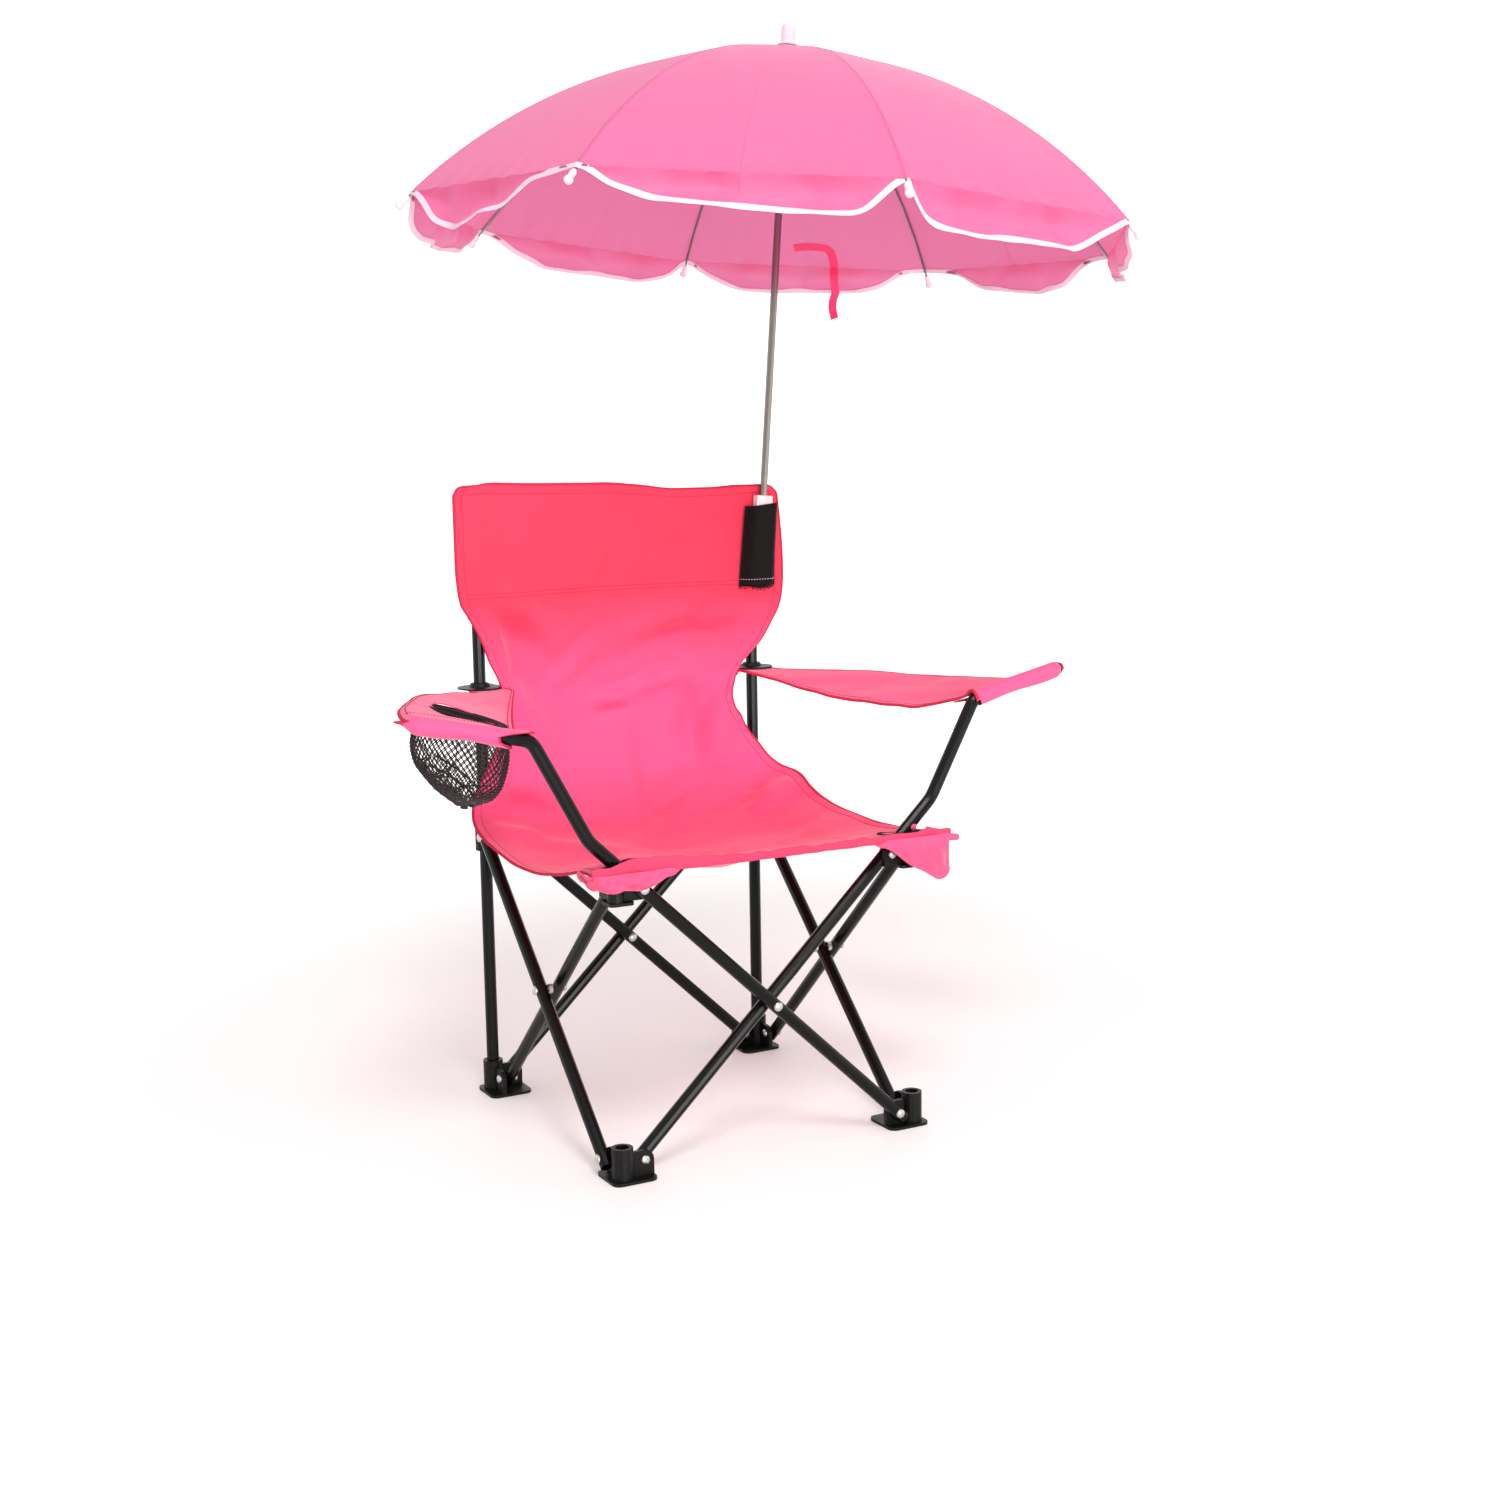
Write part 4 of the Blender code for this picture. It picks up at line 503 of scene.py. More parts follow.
def node(tree, kind, inputs=None, **settings):
    """Adds a node with its settings and inputs: each a value, an output, or a node, for that node's first output."""
    made = tree.nodes.new(kind)
    for name, value in settings.items():
        setattr(made, name, value)
    for key, value in (inputs or {}).items():
        if isinstance(value, bpy.types.Node):
            value = next(output for output in value.outputs if output.enabled)
        if isinstance(value, bpy.types.NodeSocket):
            tree.links.new(value, made.inputs[key])
        else:
            made.inputs[key].default_value = value
    return made


def ridges(tree, way, spacing):
    """Even ridges across one way, from -1 to 1."""
    turns = node(tree, "ShaderNodeMath", {0: way, 1: 2 * math.pi / spacing}, operation="MULTIPLY")
    return node(tree, "ShaderNodeMath", {0: turns}, operation="SINE")


def on_cloth(tree):
    """The piece's own UV places, which are in metres, and their two parts."""
    place = node(tree, "ShaderNodeUVMap", uv_map="cloth")
    apart = node(tree, "ShaderNodeSeparateXYZ", {"Vector": place}).outputs
    return place, apart["X"], apart["Y"]


def material(name, base, roughness, **sockets):
    """A Principled material; returns it with its tree and shader."""
    made = bpy.data.materials.new(name)
    made.use_nodes = True
    made.diffuse_color = (*base, 1)
    shader = made.node_tree.nodes["Principled BSDF"]
    shader.inputs["Base Color"].default_value = (*base, 1)
    shader.inputs["Roughness"].default_value = roughness
    for key, value in sockets.items():
        shader.inputs[key.replace("_", " ")].default_value = value
    return made, made.node_tree, shader


def once(build):
    """Builds the material of each name at its first use only."""

    @functools.wraps(build)
    def finish(name, *values, **sockets):
        return bpy.data.materials.get(name) or build(name, *values, **sockets)

    return finish


def shade(base, factor):
    return (*(min(1.0, value * factor) for value in base), 1.0)


def mottled(tree, shader, base, place, scale, low, high):
    """Slow variation of the base colour, as dye lots, dust and handling leave; returns its noise and its colour."""
    spots = node(tree, "ShaderNodeTexNoise", {"Vector": place, "Scale": scale, "Detail": 3.0})
    inputs = {"Factor": spots, "A": shade(base, low), "B": shade(base, high)}
    mix = node(tree, "ShaderNodeMix", inputs, data_type="RGBA").outputs["Result"]
    tree.links.new(mix, shader.inputs["Base Color"])
    return spots, mix


def worn(tree, shader, spots, low, high):
    """Roughness that varies with the spots."""
    level = node(tree, "ShaderNodeMapRange", {"Value": spots, "To Min": low, "To Max": high})
    tree.links.new(level.outputs["Result"], shader.inputs["Roughness"])


def bumped(tree, shader, height, strength, distance):
    """Small relief on the surface."""
    bump = node(tree, "ShaderNodeBump", {"Strength": strength, "Distance": distance, "Height": height})
    tree.links.new(bump.outputs["Normal"], shader.inputs["Normal"])


@once
def woven(name, base, spacing, roughness, strength, **sockets):
    """Plain-weave cloth: two sets of threads cross on the piece's own UV places.

    A real thread is about 0.5 mm wide, too fine for the render, so it is drawn as wide as spacing gives.
    """
    made, tree, shader = material(name, base, roughness, **sockets)
    place, across, down = on_cloth(tree)
    threads = {0: ridges(tree, across, spacing), 1: ridges(tree, down, spacing)}
    weave = node(tree, "ShaderNodeMath", threads, operation="MULTIPLY")
    level = node(tree, "ShaderNodeMapRange", {"Value": weave, "From Min": -1.0})
    _, mix = mottled(tree, shader, base, place, 14.0, 0.93, 1.05)
    dark = node(tree, "ShaderNodeMapRange", {"Value": level, "To Min": 0.22, "To Max": 0.0})
    thread = node(tree, "ShaderNodeMix", {"Factor": dark, "A": mix, "B": shade(base, 0.80)}, data_type="RGBA")
    tree.links.new(thread.outputs["Result"], shader.inputs["Base Color"])
    slub = node(tree, "ShaderNodeTexNoise", {"Vector": place, "Scale": 160.0, "Detail": 2.0})
    bumped(tree, shader, node(tree, "ShaderNodeMath", {0: slub, 1: level}, operation="ADD"), strength, 0.0003)
    return made


def chair_cloth(context, single=False):
    """Dyed, coated polyester canvas: matt, with a faint sheen at grazing angles where its fibres catch light.

    The arms' copy of this cloth and the lower back are drawn paler than the seat: painted light.
    The back above its seam is drawn redder: painted shade.
    """
    look = context.scene.chair_cloth
    name = "single polyester canvas" if single else "woven polyester canvas"
    if name in bpy.data.materials:
        return bpy.data.materials[name]
    base = look.pale if single else look.cloth
    made = woven(name, base, look.weave, 0.78, 0.35, Sheen_Weight=0.35, Sheen_Roughness=0.45)
    if single:
        return made
    tree = made.node_tree
    socket = tree.nodes["Principled BSDF"].inputs["Base Color"]
    place = node(tree, "ShaderNodeTexCoord").outputs["Object"]
    height = node(tree, "ShaderNodeSeparateXYZ", {"Vector": place}).outputs["Z"]
    # Painted light and shade by height: the lower back is drawn paler and the back above its seam redder than the
    # seat
    bands = ((0.285, look.cloth), (0.335, look.pale), (0.430, look.pale), (0.530, look.doubled))
    low, high = bands[0][0], bands[-1][0]
    level = node(tree, "ShaderNodeMapRange", {"Value": height, "From Min": low, "From Max": high})
    ramp = node(tree, "ShaderNodeValToRGB", {"Fac": level})
    stops = ramp.color_ramp.elements
    for number, (z, tint) in enumerate(bands):
        place = (z - low) / (high - low)
        stop = stops[0] if number == 0 else stops[-1] if number == len(bands) - 1 else stops.new(place)
        stop.position = place
        stop.color = (*(b / a for a, b in zip(look.cloth, tint)), 1.0)
    inputs = {"Factor": 1.0, "A": socket.links[0].from_socket, "B": ramp}
    both = node(tree, "ShaderNodeMix", inputs, data_type="RGBA", blend_type="MULTIPLY")
    tree.links.new(both.outputs["Result"], socket)
    return made


def canopy_cloth(base):
    """Thin polyester taffeta: finer and smoother than canvas, a little shiny, and light comes through it."""
    return woven(
        "thin polyester taffeta", base, 0.0016, 0.6, 0.14, Sheen_Weight=0.2, Sheen_Roughness=0.4,
        Subsurface_Weight=0.8, Subsurface_Radius=(1.0, 0.5, 0.6), Subsurface_Scale=0.01,
    )


@once
def tape_cloth(name, base):
    """Woven edging tape: close ribs across its width."""
    made, tree, shader = material(name, base, 0.75, Specular_IOR_Level=0.25)
    place, _, down = on_cloth(tree)
    mottled(tree, shader, base, place, 30.0, 0.92, 1.04)
    bumped(tree, shader, ridges(tree, down, 0.0016), 0.35, 0.0002)
    return made


@once
def black_webbing(name, base):
    """Heavy polypropylene webbing: coarse slanting ribs, about 2 mm apart, with little shine."""
    made, tree, shader = material(name, base, 0.7, Specular_IOR_Level=0.14)
    _, across, down = on_cloth(tree)
    slant = node(tree, "ShaderNodeMath", {0: across, 1: down}, operation="ADD")
    level = node(tree, "ShaderNodeMapRange", {"Value": ridges(tree, slant, 0.0021), "From Min": -1.0})
    inputs = {"Factor": level, "A": shade(base, 0.6), "B": shade(base, 1.7)}
    ribs = node(tree, "ShaderNodeMix", inputs, data_type="RGBA")
    tree.links.new(ribs.outputs["Result"], shader.inputs["Base Color"])
    bumped(tree, shader, level, 0.6, 0.0005)
    return made


@once
def net_cord(name, base):
    """Braided nylon cord: fine dark strands wound round each other."""
    made, tree, shader = material(name, base, 0.55, Sheen_Weight=0.1)
    place = node(tree, "ShaderNodeTexCoord").outputs["Object"]
    strands, _ = mottled(tree, shader, base, place, 900.0, 0.6, 1.9)
    bumped(tree, shader, strands, 0.3, 0.0002)
    return made


@once
def enamel(name, base):
    """Stoved black enamel on steel tube: smooth and glossy, with a faint ripple from spraying."""
    made, tree, shader = material(name, base, 0.3, IOR=1.46, Specular_IOR_Level=0.21)
    place = node(tree, "ShaderNodeTexCoord").outputs["Object"]
    spots, _ = mottled(tree, shader, base, place, 25.0, 0.75, 1.25)
    worn(tree, shader, spots, 0.17, 0.28)
    ripple = node(tree, "ShaderNodeTexNoise", {"Vector": place, "Scale": 320.0, "Detail": 1.0})
    bumped(tree, shader, ripple.outputs["Fac"], 0.10, 0.0003)
    return made


@once
def moulded_plastic(name, base):
    """Injection-moulded nylon: satin, with the fine grain of an eroded mould."""
    made, tree, shader = material(name, base, 0.42, IOR=1.5, Specular_IOR_Level=0.2)
    place = node(tree, "ShaderNodeTexCoord").outputs["Object"]
    spots, _ = mottled(tree, shader, base, place, 60.0, 0.8, 1.3)
    worn(tree, shader, spots, 0.34, 0.52)
    grain = node(tree, "ShaderNodeTexVoronoi", {"Vector": place, "Scale": 1100.0})
    bumped(tree, shader, grain.outputs["Distance"], 0.18, 0.0002)
    return made


@once
def zinc(name, base):
    """Zinc-plated steel rivet: bright grey with a soft, slightly blotched shine."""
    made, tree, shader = material(name, base, 0.3, Metallic=1.0)
    place = node(tree, "ShaderNodeTexCoord").outputs["Object"]
    spots, _ = mottled(tree, shader, base, place, 500.0, 0.85, 1.1)
    worn(tree, shader, spots, 0.22, 0.45)
    bumped(tree, shader, spots, 0.1, 0.0002)
    return made


@once
def chrome(name, base):
    """Chromed steel: a hard, clear shine with faint drawing lines."""
    made, tree, shader = material(name, base, 0.16, Metallic=1.0)
    place = node(tree, "ShaderNodeTexCoord").outputs["Object"]
    narrow = node(tree, "ShaderNodeMapping", {"Vector": place, "Scale": (1.0, 1.0, 0.02)})
    lines = node(tree, "ShaderNodeTexNoise", {"Vector": narrow, "Scale": 1500.0, "Detail": 2.0})
    worn(tree, shader, lines, 0.12, 0.24)
    inputs = {"Factor": lines, "A": shade(base, 0.9), "B": shade(base, 1.05)}
    drawn = node(tree, "ShaderNodeMix", inputs, data_type="RGBA")
    tree.links.new(drawn.outputs["Result"], shader.inputs["Base Color"])
    return made


@once
def glossy_plastic(name, base):
    """Moulded polypropylene: pale, and a little waxy."""
    made, tree, shader = material(name, base, 0.32, IOR=1.49)
    place = node(tree, "ShaderNodeTexCoord").outputs["Object"]
    spots, _ = mottled(tree, shader, base, place, 120.0, 0.95, 1.03)
    bumped(tree, shader, spots, 0.05, 0.0003)
    return made


@once
def sewing_thread(name, base):
    """Twisted polyester thread: rough, with a slight twist in its colour."""
    made, tree, shader = material(name, base, 0.8, Specular_IOR_Level=0.2)
    place = node(tree, "ShaderNodeTexCoord").outputs["Object"]
    mottled(tree, shader, base, place, 1400.0, 0.75, 1.15)
    return made


# Geometry Nodes


def group(name, sizes, build):
    """A node group that takes geometry, these sizes and a material, and gives what build makes, in that material."""
    if name in bpy.data.node_groups:
        return bpy.data.node_groups[name]
    tree = bpy.data.node_groups.new(name, "GeometryNodeTree")
    tree.interface.new_socket("Geometry", in_out="INPUT", socket_type="NodeSocketGeometry")
    for label, size in sizes.items():
        tree.interface.new_socket(label, in_out="INPUT", socket_type="NodeSocketFloat").default_value = size
    tree.interface.new_socket("Material", in_out="INPUT", socket_type="NodeSocketMaterial")
    tree.interface.new_socket("Geometry", in_out="OUTPUT", socket_type="NodeSocketGeometry")
    given = node(tree, "NodeGroupInput").outputs
    real = node(tree, "GeometryNodeRealizeInstances", {"Geometry": build(tree, given)})
    painted = node(tree, "GeometryNodeSetMaterial", {"Geometry": real, "Material": given["Material"]})
    node(tree, "NodeGroupOutput", {"Geometry": painted})
    return tree


def run_group(obj, tree, **values):
    """Puts a node group on an object with these inputs, and turns the result into a plain mesh."""
    modifier = obj.modifiers.new(tree.name, "NODES")
    modifier.node_group = tree
    for item in tree.interface.items_tree:
        if item.item_type == "SOCKET" and item.in_out == "INPUT" and item.name in values:
            modifier[item.identifier] = values[item.name]
    return plain_mesh(obj)


def stitch_group():
    """Stitches of one length and thickness, end to end along curves."""

    def build(tree, given):
        inputs = {"Curve": given["Geometry"], "Length": given["Stitch"]}
        spaced = node(tree, "GeometryNodeResampleCurve", inputs, mode="LENGTH")
        tangent = node(tree, "GeometryNodeInputTangent")
        turn = node(tree, "FunctionNodeAlignRotationToVector", {"Vector": tangent}, axis="X")
        long = node(tree, "ShaderNodeMath", {0: given["Stitch"], 1: 0.8}, operation="MULTIPLY")
        size = node(tree, "ShaderNodeCombineXYZ", {"X": long, "Y": given["Thickness"], "Z": given["Thickness"]})
        bead = node(tree, "GeometryNodeMeshIcoSphere", {"Radius": 0.5, "Subdivisions": 1})
        inputs = {"Points": spaced, "Instance": bead, "Rotation": turn, "Scale": size}
        return node(tree, "GeometryNodeInstanceOnPoints", inputs)

    return group("Stitches", {"Stitch": 0.0032, "Thickness": 0.0007}, build)


def rivet_group():
    """A domed head on each point, standing along the point's own direction."""

    def build(tree, given):
        dome = node(tree, "GeometryNodeMeshUVSphere", {"Segments": 20, "Rings": 12, "Radius": 1.0})
        size = node(tree, "ShaderNodeCombineXYZ", {"X": given["Radius"], "Y": given["Radius"], "Z": given["Rise"]})
        shaped = node(tree, "GeometryNodeTransform", {"Geometry": dome, "Scale": size})
        stand = node(tree, "GeometryNodeInputNamedAttribute", {"Name": "stand"}, data_type="FLOAT_VECTOR")
        turn = node(
            tree, "FunctionNodeAlignRotationToVector", {"Vector": stand.outputs["Attribute"]}, axis="Z"
        )
        inputs = {"Points": given["Geometry"], "Instance": shaped, "Rotation": turn}
        return node(tree, "GeometryNodeInstanceOnPoints", inputs)

    return group("Rivet heads", {"Radius": RIVET_HEAD, "Rise": RIVET_RISE}, build)


def cord_group():
    """Round cord along curves, with a knot at each control point."""

    def build(tree, given):
        half = node(tree, "ShaderNodeMath", {0: given["Cord"], 1: 0.5}, operation="MULTIPLY")
        ring = node(tree, "GeometryNodeCurvePrimitiveCircle", {"Resolution": 5, "Radius": half}, mode="RADIUS")
        cord = node(tree, "GeometryNodeCurveToMesh", {"Curve": given["Geometry"], "Profile Curve": ring})
        bead = node(tree, "GeometryNodeMeshIcoSphere", {"Radius": 0.5, "Subdivisions": 1})
        inputs = {"Points": given["Geometry"], "Instance": bead, "Scale": given["Knot"]}
        knots = node(tree, "GeometryNodeInstanceOnPoints", inputs)
        both = node(tree, "GeometryNodeJoinGeometry")
        for piece in (cord.outputs["Mesh"], knots.outputs["Instances"]):
            tree.links.new(piece, both.inputs["Geometry"])
        return both

    return group("Knotted cords", {"Cord": 0.0007, "Knot": 0.0015}, build)


def curves(name, paths):
    """One curve object with a straight-lined spline for each path."""
    data = bpy.data.curves.new(name, "CURVE")
    data.dimensions = "3D"
    for path in paths:
        spline = data.splines.new("POLY")
        spline.points.add(len(path) - 1)
        points = np.ones((len(path), 4))
        points[:, :3] = np.asarray(path, float) + np.array(CHAIR_MIDDLE)
        spline.points.foreach_set("co", points.ravel())
    return placed(name, data)


def stitches(context, name, paths, thread, thickness=0.0010):
    """Rows of stitches along paths."""
    long = context.scene.chair_cloth.stitch
    return run_group(curves(name, paths), stitch_group(), Stitch=long, Thickness=thickness, Material=thread)


# Places on the object


def tube_line(run, side, layer, climb):
    """The pivots at the foot and the hub of one cross tube."""
    across = side * CORNER + layer * TUBE_LAYER
    ends = []
    for reach, height in ((-climb * PIVOT_SPAN, FOOT_PIVOT), (climb * PIVOT_SPAN, HUB_PIVOT)):
        ends.append(Vector((reach, across, height) if run == "x" else (across, reach, height)))
    return ends


def arm_tube(side):
    """The straight-lined path of an arm's tube from its hub pivot to the end of the bar."""
    low, high = tube_line("x", -1, side, side)
    out = Vector((side, 0, 0))
    up = Vector((0, 0, 1))
    knee = high + (high - low).normalized() * ARM_STRAIGHT
    shoulder = knee + (out * math.cos(ARM_RISE[1]) + up * math.sin(ARM_RISE[1])) * ARM_RISE[0]
    end = shoulder + (out * math.cos(ARM_BAR[1]) + up * math.sin(ARM_BAR[1])) * ARM_BAR[0]
    return [high, knee, shoulder, end]


def arm_line(side):
    """The straight of the bar in an arm's front hem: its inner and outer ends and its direction."""
    shoulder, end = arm_tube(side)[2:]
    along = (end - shoulder).normalized()
    inner = shoulder + along * (ARM_TURN + 0.002)
    return np.array(inner), np.array(end), np.array(along)


def arm_ends(side):
    """The inner and outer ends of an arm's front hem."""
    inner, outer, bar = arm_line(side)
    return inner - bar * ARM_EDGES[side][0][0], outer + bar * ARM_EDGES[side][1][0], bar


def tip_flat(side, across):
    """How round the front hem still is: it is sewn flat past the bar's outer end."""
    near = np.clip((across - 0.90) / 0.10, 0, 1)
    return 1 - (0.85 if side < 0 else 0.6) * near * near * (3 - 2 * near)


def arm_surface(side, across, along):
    """An arm's cloth: across from its inner to its outer edge, along from its front hem to behind the post."""
    inner, outer, _ = arm_ends(side)
    front = inner + (outer - inner) * across[..., None]
    x_rear = side * (CORNER - 0.0240 + across * (0.0445 - 0.012 * np.clip(along * 5.5 - 4.5, 0, 1)))
    back = np.minimum(1.0, along / 0.82)
    (_, power, sag, skew), (_, power_out, sag_out, skew_out) = ARM_EDGES[side]
    power = power + (power_out - power) * across
    sag = (sag + (sag_out - sag) * across) * np.sin(math.pi * back ** (skew + (skew_out - skew) * across))
    x = front[..., 0] + (x_rear - front[..., 0]) * back**power
    y = inner[1] + along * (CORNER + ARM_PAST_POST - inner[1])
    z_front = front[..., 2] + HEM_RADIUS * tip_flat(side, across)
    z_rear = COLLAR_HEIGHT - GAP - CLOTH / 2
    # The cloth lies on the bar's rear half before it sags
    on_bar = np.sqrt(np.maximum(HEM_RADIUS**2 - (y - inner[1]) ** 2, 0))
    on_bar = np.where(on_bar > 0, front[..., 2] + on_bar * tip_flat(side, across), -1.0)
    return np.stack([x, y, np.maximum(z_front + (z_rear - z_front) * back - sag, on_bar)], -1)


def cup_place():
    """The middle of the cup opening and the arm's upward direction there."""
    depth = CORNER + ARM_PAST_POST - arm_line(-1)[0][1]
    v, step = CUP_FROM_FRONT / depth, CUP_RADIUS / depth

    def at(u, along):
        return arm_surface(-1, np.array(u), np.array(along))

    across = at(1.0, v) - at(0.0, v)
    along = at(CUP_ACROSS, v + step) - at(CUP_ACROSS, v - step)
    up = unit(np.cross(across, along))
    return at(CUP_ACROSS, v), up if up[2] > 0 else -up


def umbrella_axes():
    along = np.array([math.sin(SHAFT_LEAN), 0.0, math.cos(SHAFT_LEAN)])
    left = np.array([-math.cos(SHAFT_LEAN), 0.0, math.sin(SHAFT_LEAN)])
    return along, left, np.array([0.0, -1.0, 0.0])


def on_umbrella(height, radius, turn):
    """Points given along the shaft, out from it and round it from its left."""
    along, left, front = umbrella_axes()
    height, radius, turn = np.broadcast_arrays(*(np.asarray(v, float) for v in (height, radius, turn)))
    out = left * np.cos(turn)[..., None] + front * np.sin(turn)[..., None]
    return np.array(SHAFT_FOOT) + along * height[..., None] + out * radius[..., None]


def rib_curve(share):
    """A rib's radius and height at shares of its length."""
    chord = math.hypot(RIB_REACH, RIB_DROP)
    slope = math.atan2(-RIB_DROP, RIB_REACH)
    bend = chord / 2 / math.sin(RIB_BULGE)
    turn = RIB_BULGE * (2 * np.asarray(share, float) - 1)
    ahead = chord / 2 + bend * np.sin(turn)
    above = bend * (np.cos(turn) - math.cos(RIB_BULGE))
    radius = NOTCH_RADIUS + ahead * math.cos(slope) - above * math.sin(slope)
    return radius, CROWN_HEIGHT + ahead * math.sin(slope) + above * math.cos(slope)


def rib_normal(share):
    before, after = rib_curve(share - 0.01), rib_curve(share + 0.01)
    run, fall = after[0] - before[0], after[1] - before[1]
    size = np.hypot(run, fall)
    return -fall / size, run / size


# Folds of the seat and back as (places along the crease, width, height, kind), read off the photograph
FOLDS = (
    (((-0.108, 0.156, 0.636), (-0.109, 0.160, 0.545)), 0.016, 0.0020, "ridge"),
    (((-0.023, 0.159, 0.640), (-0.018, 0.166, 0.582), (-0.046, 0.169, 0.524)), 0.013, 0.0022, "step"),
    (((0.079, 0.158, 0.640), (0.080, 0.163, 0.578)), 0.014, 0.0020, "ridge"),
    (((-0.160, 0.154, 0.527), (-0.122, 0.159, 0.507), (-0.084, 0.169, 0.476)), 0.012, -0.0042, "step"),
    (((-0.140, 0.154, 0.523), (-0.100, 0.162, 0.512)), 0.011, 0.0020, "ridge"),
    (((-0.078, 0.175, 0.438), (-0.044, 0.177, 0.466), (-0.011, 0.175, 0.492)), 0.008, 0.0028, "step"),
    (((0.016, 0.178, 0.470), (0.055, 0.173, 0.485), (0.091, 0.166, 0.499), (0.112, 0.161, 0.517)),
     0.011, -0.0045, "step"),
    (((0.060, 0.172, 0.482), (0.117, 0.161, 0.487), (0.150, 0.157, 0.500)), 0.010, -0.0035, "step"),
    (((0.139, 0.155, 0.445), (0.116, 0.162, 0.405), (0.100, 0.161, 0.360), (0.093, 0.154, 0.330)),
     0.012, -0.0042, "step"),
    (((-0.022, 0.184, 0.418), (0.002, 0.184, 0.421), (0.022, 0.183, 0.428)), 0.005, 0.0022, "step"),
    (((-0.020, 0.183, 0.402), (0.020, 0.183, 0.405)), 0.005, -0.0022, "step"),
    (((0.024, 0.183, 0.426), (0.051, 0.179, 0.438), (0.077, 0.174, 0.443)), 0.008, 0.0030, "step"),
    (((0.083, 0.172, 0.438), (0.091, 0.170, 0.406), (0.094, 0.161, 0.360)), 0.010, -0.0030, "step"),
    (((0.020, 0.182, 0.410), (0.017, 0.166, 0.348), (0.014, 0.151, 0.305), (0.024, 0.130, 0.281)),
     0.010, 0.0028, "step"),
    (((0.020, 0.128, 0.279), (0.066, 0.147, 0.298), (0.095, 0.148, 0.306), (0.128, 0.146, 0.303)),
     0.012, 0.0040, "step"),
    (((-0.142, 0.156, 0.500), (-0.133, 0.157, 0.449), (-0.094, 0.170, 0.410), (-0.061, 0.169, 0.360)),
     0.012, 0.0035, "step"),
    (((-0.165, 0.147, 0.330), (-0.114, 0.149, 0.316), (-0.080, 0.147, 0.296)), 0.012, -0.0040, "step"),
    (((0.112, 0.164, 0.462), (0.117, 0.163, 0.418), (0.109, 0.162, 0.370)), 0.009, 0.0024, "ridge"),
    (((0.135, 0.137, 0.296), (0.146, 0.125, 0.298), (0.160, 0.100, 0.300)), 0.006, 0.0018, "step"),
    (((0.176, 0.125, 0.320), (0.150, 0.100, 0.300), (0.120, 0.085, 0.288)), 0.012, 0.0040, "ridge"),
    (((-0.178, 0.130, 0.318), (-0.120, 0.110, 0.292), (-0.070, 0.090, 0.276)), 0.014, 0.0038, "step"),
    (((-0.150, -0.020, 0.290), (-0.060, 0.000, 0.270), (0.040, 0.010, 0.266)), 0.020, 0.0016, "ridge"),
    (((0.050, -0.170, 0.296), (0.060, -0.110, 0.282), (0.050, -0.060, 0.272)), 0.014, 0.0014, "ridge"),
    (((-0.150, -0.150, 0.298), (-0.090, -0.080, 0.280), (-0.040, -0.050, 0.272)), 0.013, 0.0024, "step"),
    (((0.145, -0.140, 0.298), (0.090, -0.085, 0.280), (0.045, -0.050, 0.272)), 0.013, -0.0022, "step"),
)


def folded(points, normals, strength, widening):
    """How far each point stands out along its normal because of the folds."""
    lift = np.zeros(points.shape[:-1])
    flat = points.reshape(-1, 3)
    for route, width, height, kind in FOLDS:
        best = np.full(len(flat), 1e9)
        share = np.zeros(len(flat))
        side = np.zeros(len(flat))
        route = np.array(route)
        steps = [np.linalg.norm(b - a) for a, b in zip(route, route[1:])]
        run = 0.0
        for a, b, step in zip(route, route[1:], steps):
            along = (b - a) / step
            t = np.clip((flat - a) @ along, 0, step)
            off = flat - a - t[:, None] * along
            far = np.linalg.norm(off, axis=1)
            nearer = far < best
            best = np.where(nearer, far, best)
            share = np.where(nearer, (run + t) / sum(steps), share)
            cross = np.cross(along[None], normals.reshape(-1, 3))
            side = np.where(nearer, (off * cross).sum(1), side)
            run += step
        taper = np.sin(math.pi * np.clip(share * 0.92 + 0.04, 0, 1)) ** 0.7
        shape = np.exp(-((best / width / widening) ** 2))
        if kind == "step":
            shape = shape * (0.35 + side / width / widening * 1.5)
        lift += (height * strength * taper * shape).reshape(lift.shape)
    return lift


def unevenness(points, scale, size, seed):
    """A small, slow, repeatable unevenness."""
    flat = points.reshape(-1, 3) * scale + seed
    return np.array([noise.noise(Vector(p)) for p in flat]).reshape(points.shape[:-1]) * size


def edge_lines(half, band, count):
    """Places across a cloth from -1 to 1, close together at the hems, for a usual half width."""
    near = np.array([0.0, 0.0007, 0.0018, 0.0026, 0.0034, band - 0.0012, band - 0.0002, band + 0.0008]) / half
    middle = np.linspace(near[-1] - 1, 1 - near[-1], count)[1:-1]
    return np.concatenate([near - 1, middle, (1 - near)[::-1]])


def hem_half(count, look):
    """Half thickness by line in from an edge: a rolled lip, the doubled hem and the plain cloth."""
    thin = CLOTH / 2 - 0.0002
    lip = np.array([0.0008, 0.0013, 0.0015, 0.0011, look.hem_lift + thin, look.hem_lift + thin, 0.00045])
    return np.concatenate([lip, np.full(count - len(lip), thin)])


def above_hubs(points):
    """Lifts cloth off the moulded hubs under it, in a shallow tent round each."""
    for hub in HUBS:
        low, high = (np.array(corner) - np.array(CHAIR_MIDDLE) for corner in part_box(hub))
        off = np.maximum(np.maximum(low[:2] - points[..., :2], points[..., :2] - high[:2]), 0)
        tent = high[2] + 0.0018 - np.maximum(np.linalg.norm(off, axis=-1) - 0.004, 0) * 0.9
        points[..., 2] = np.maximum(points[..., 2], tent)
    return points


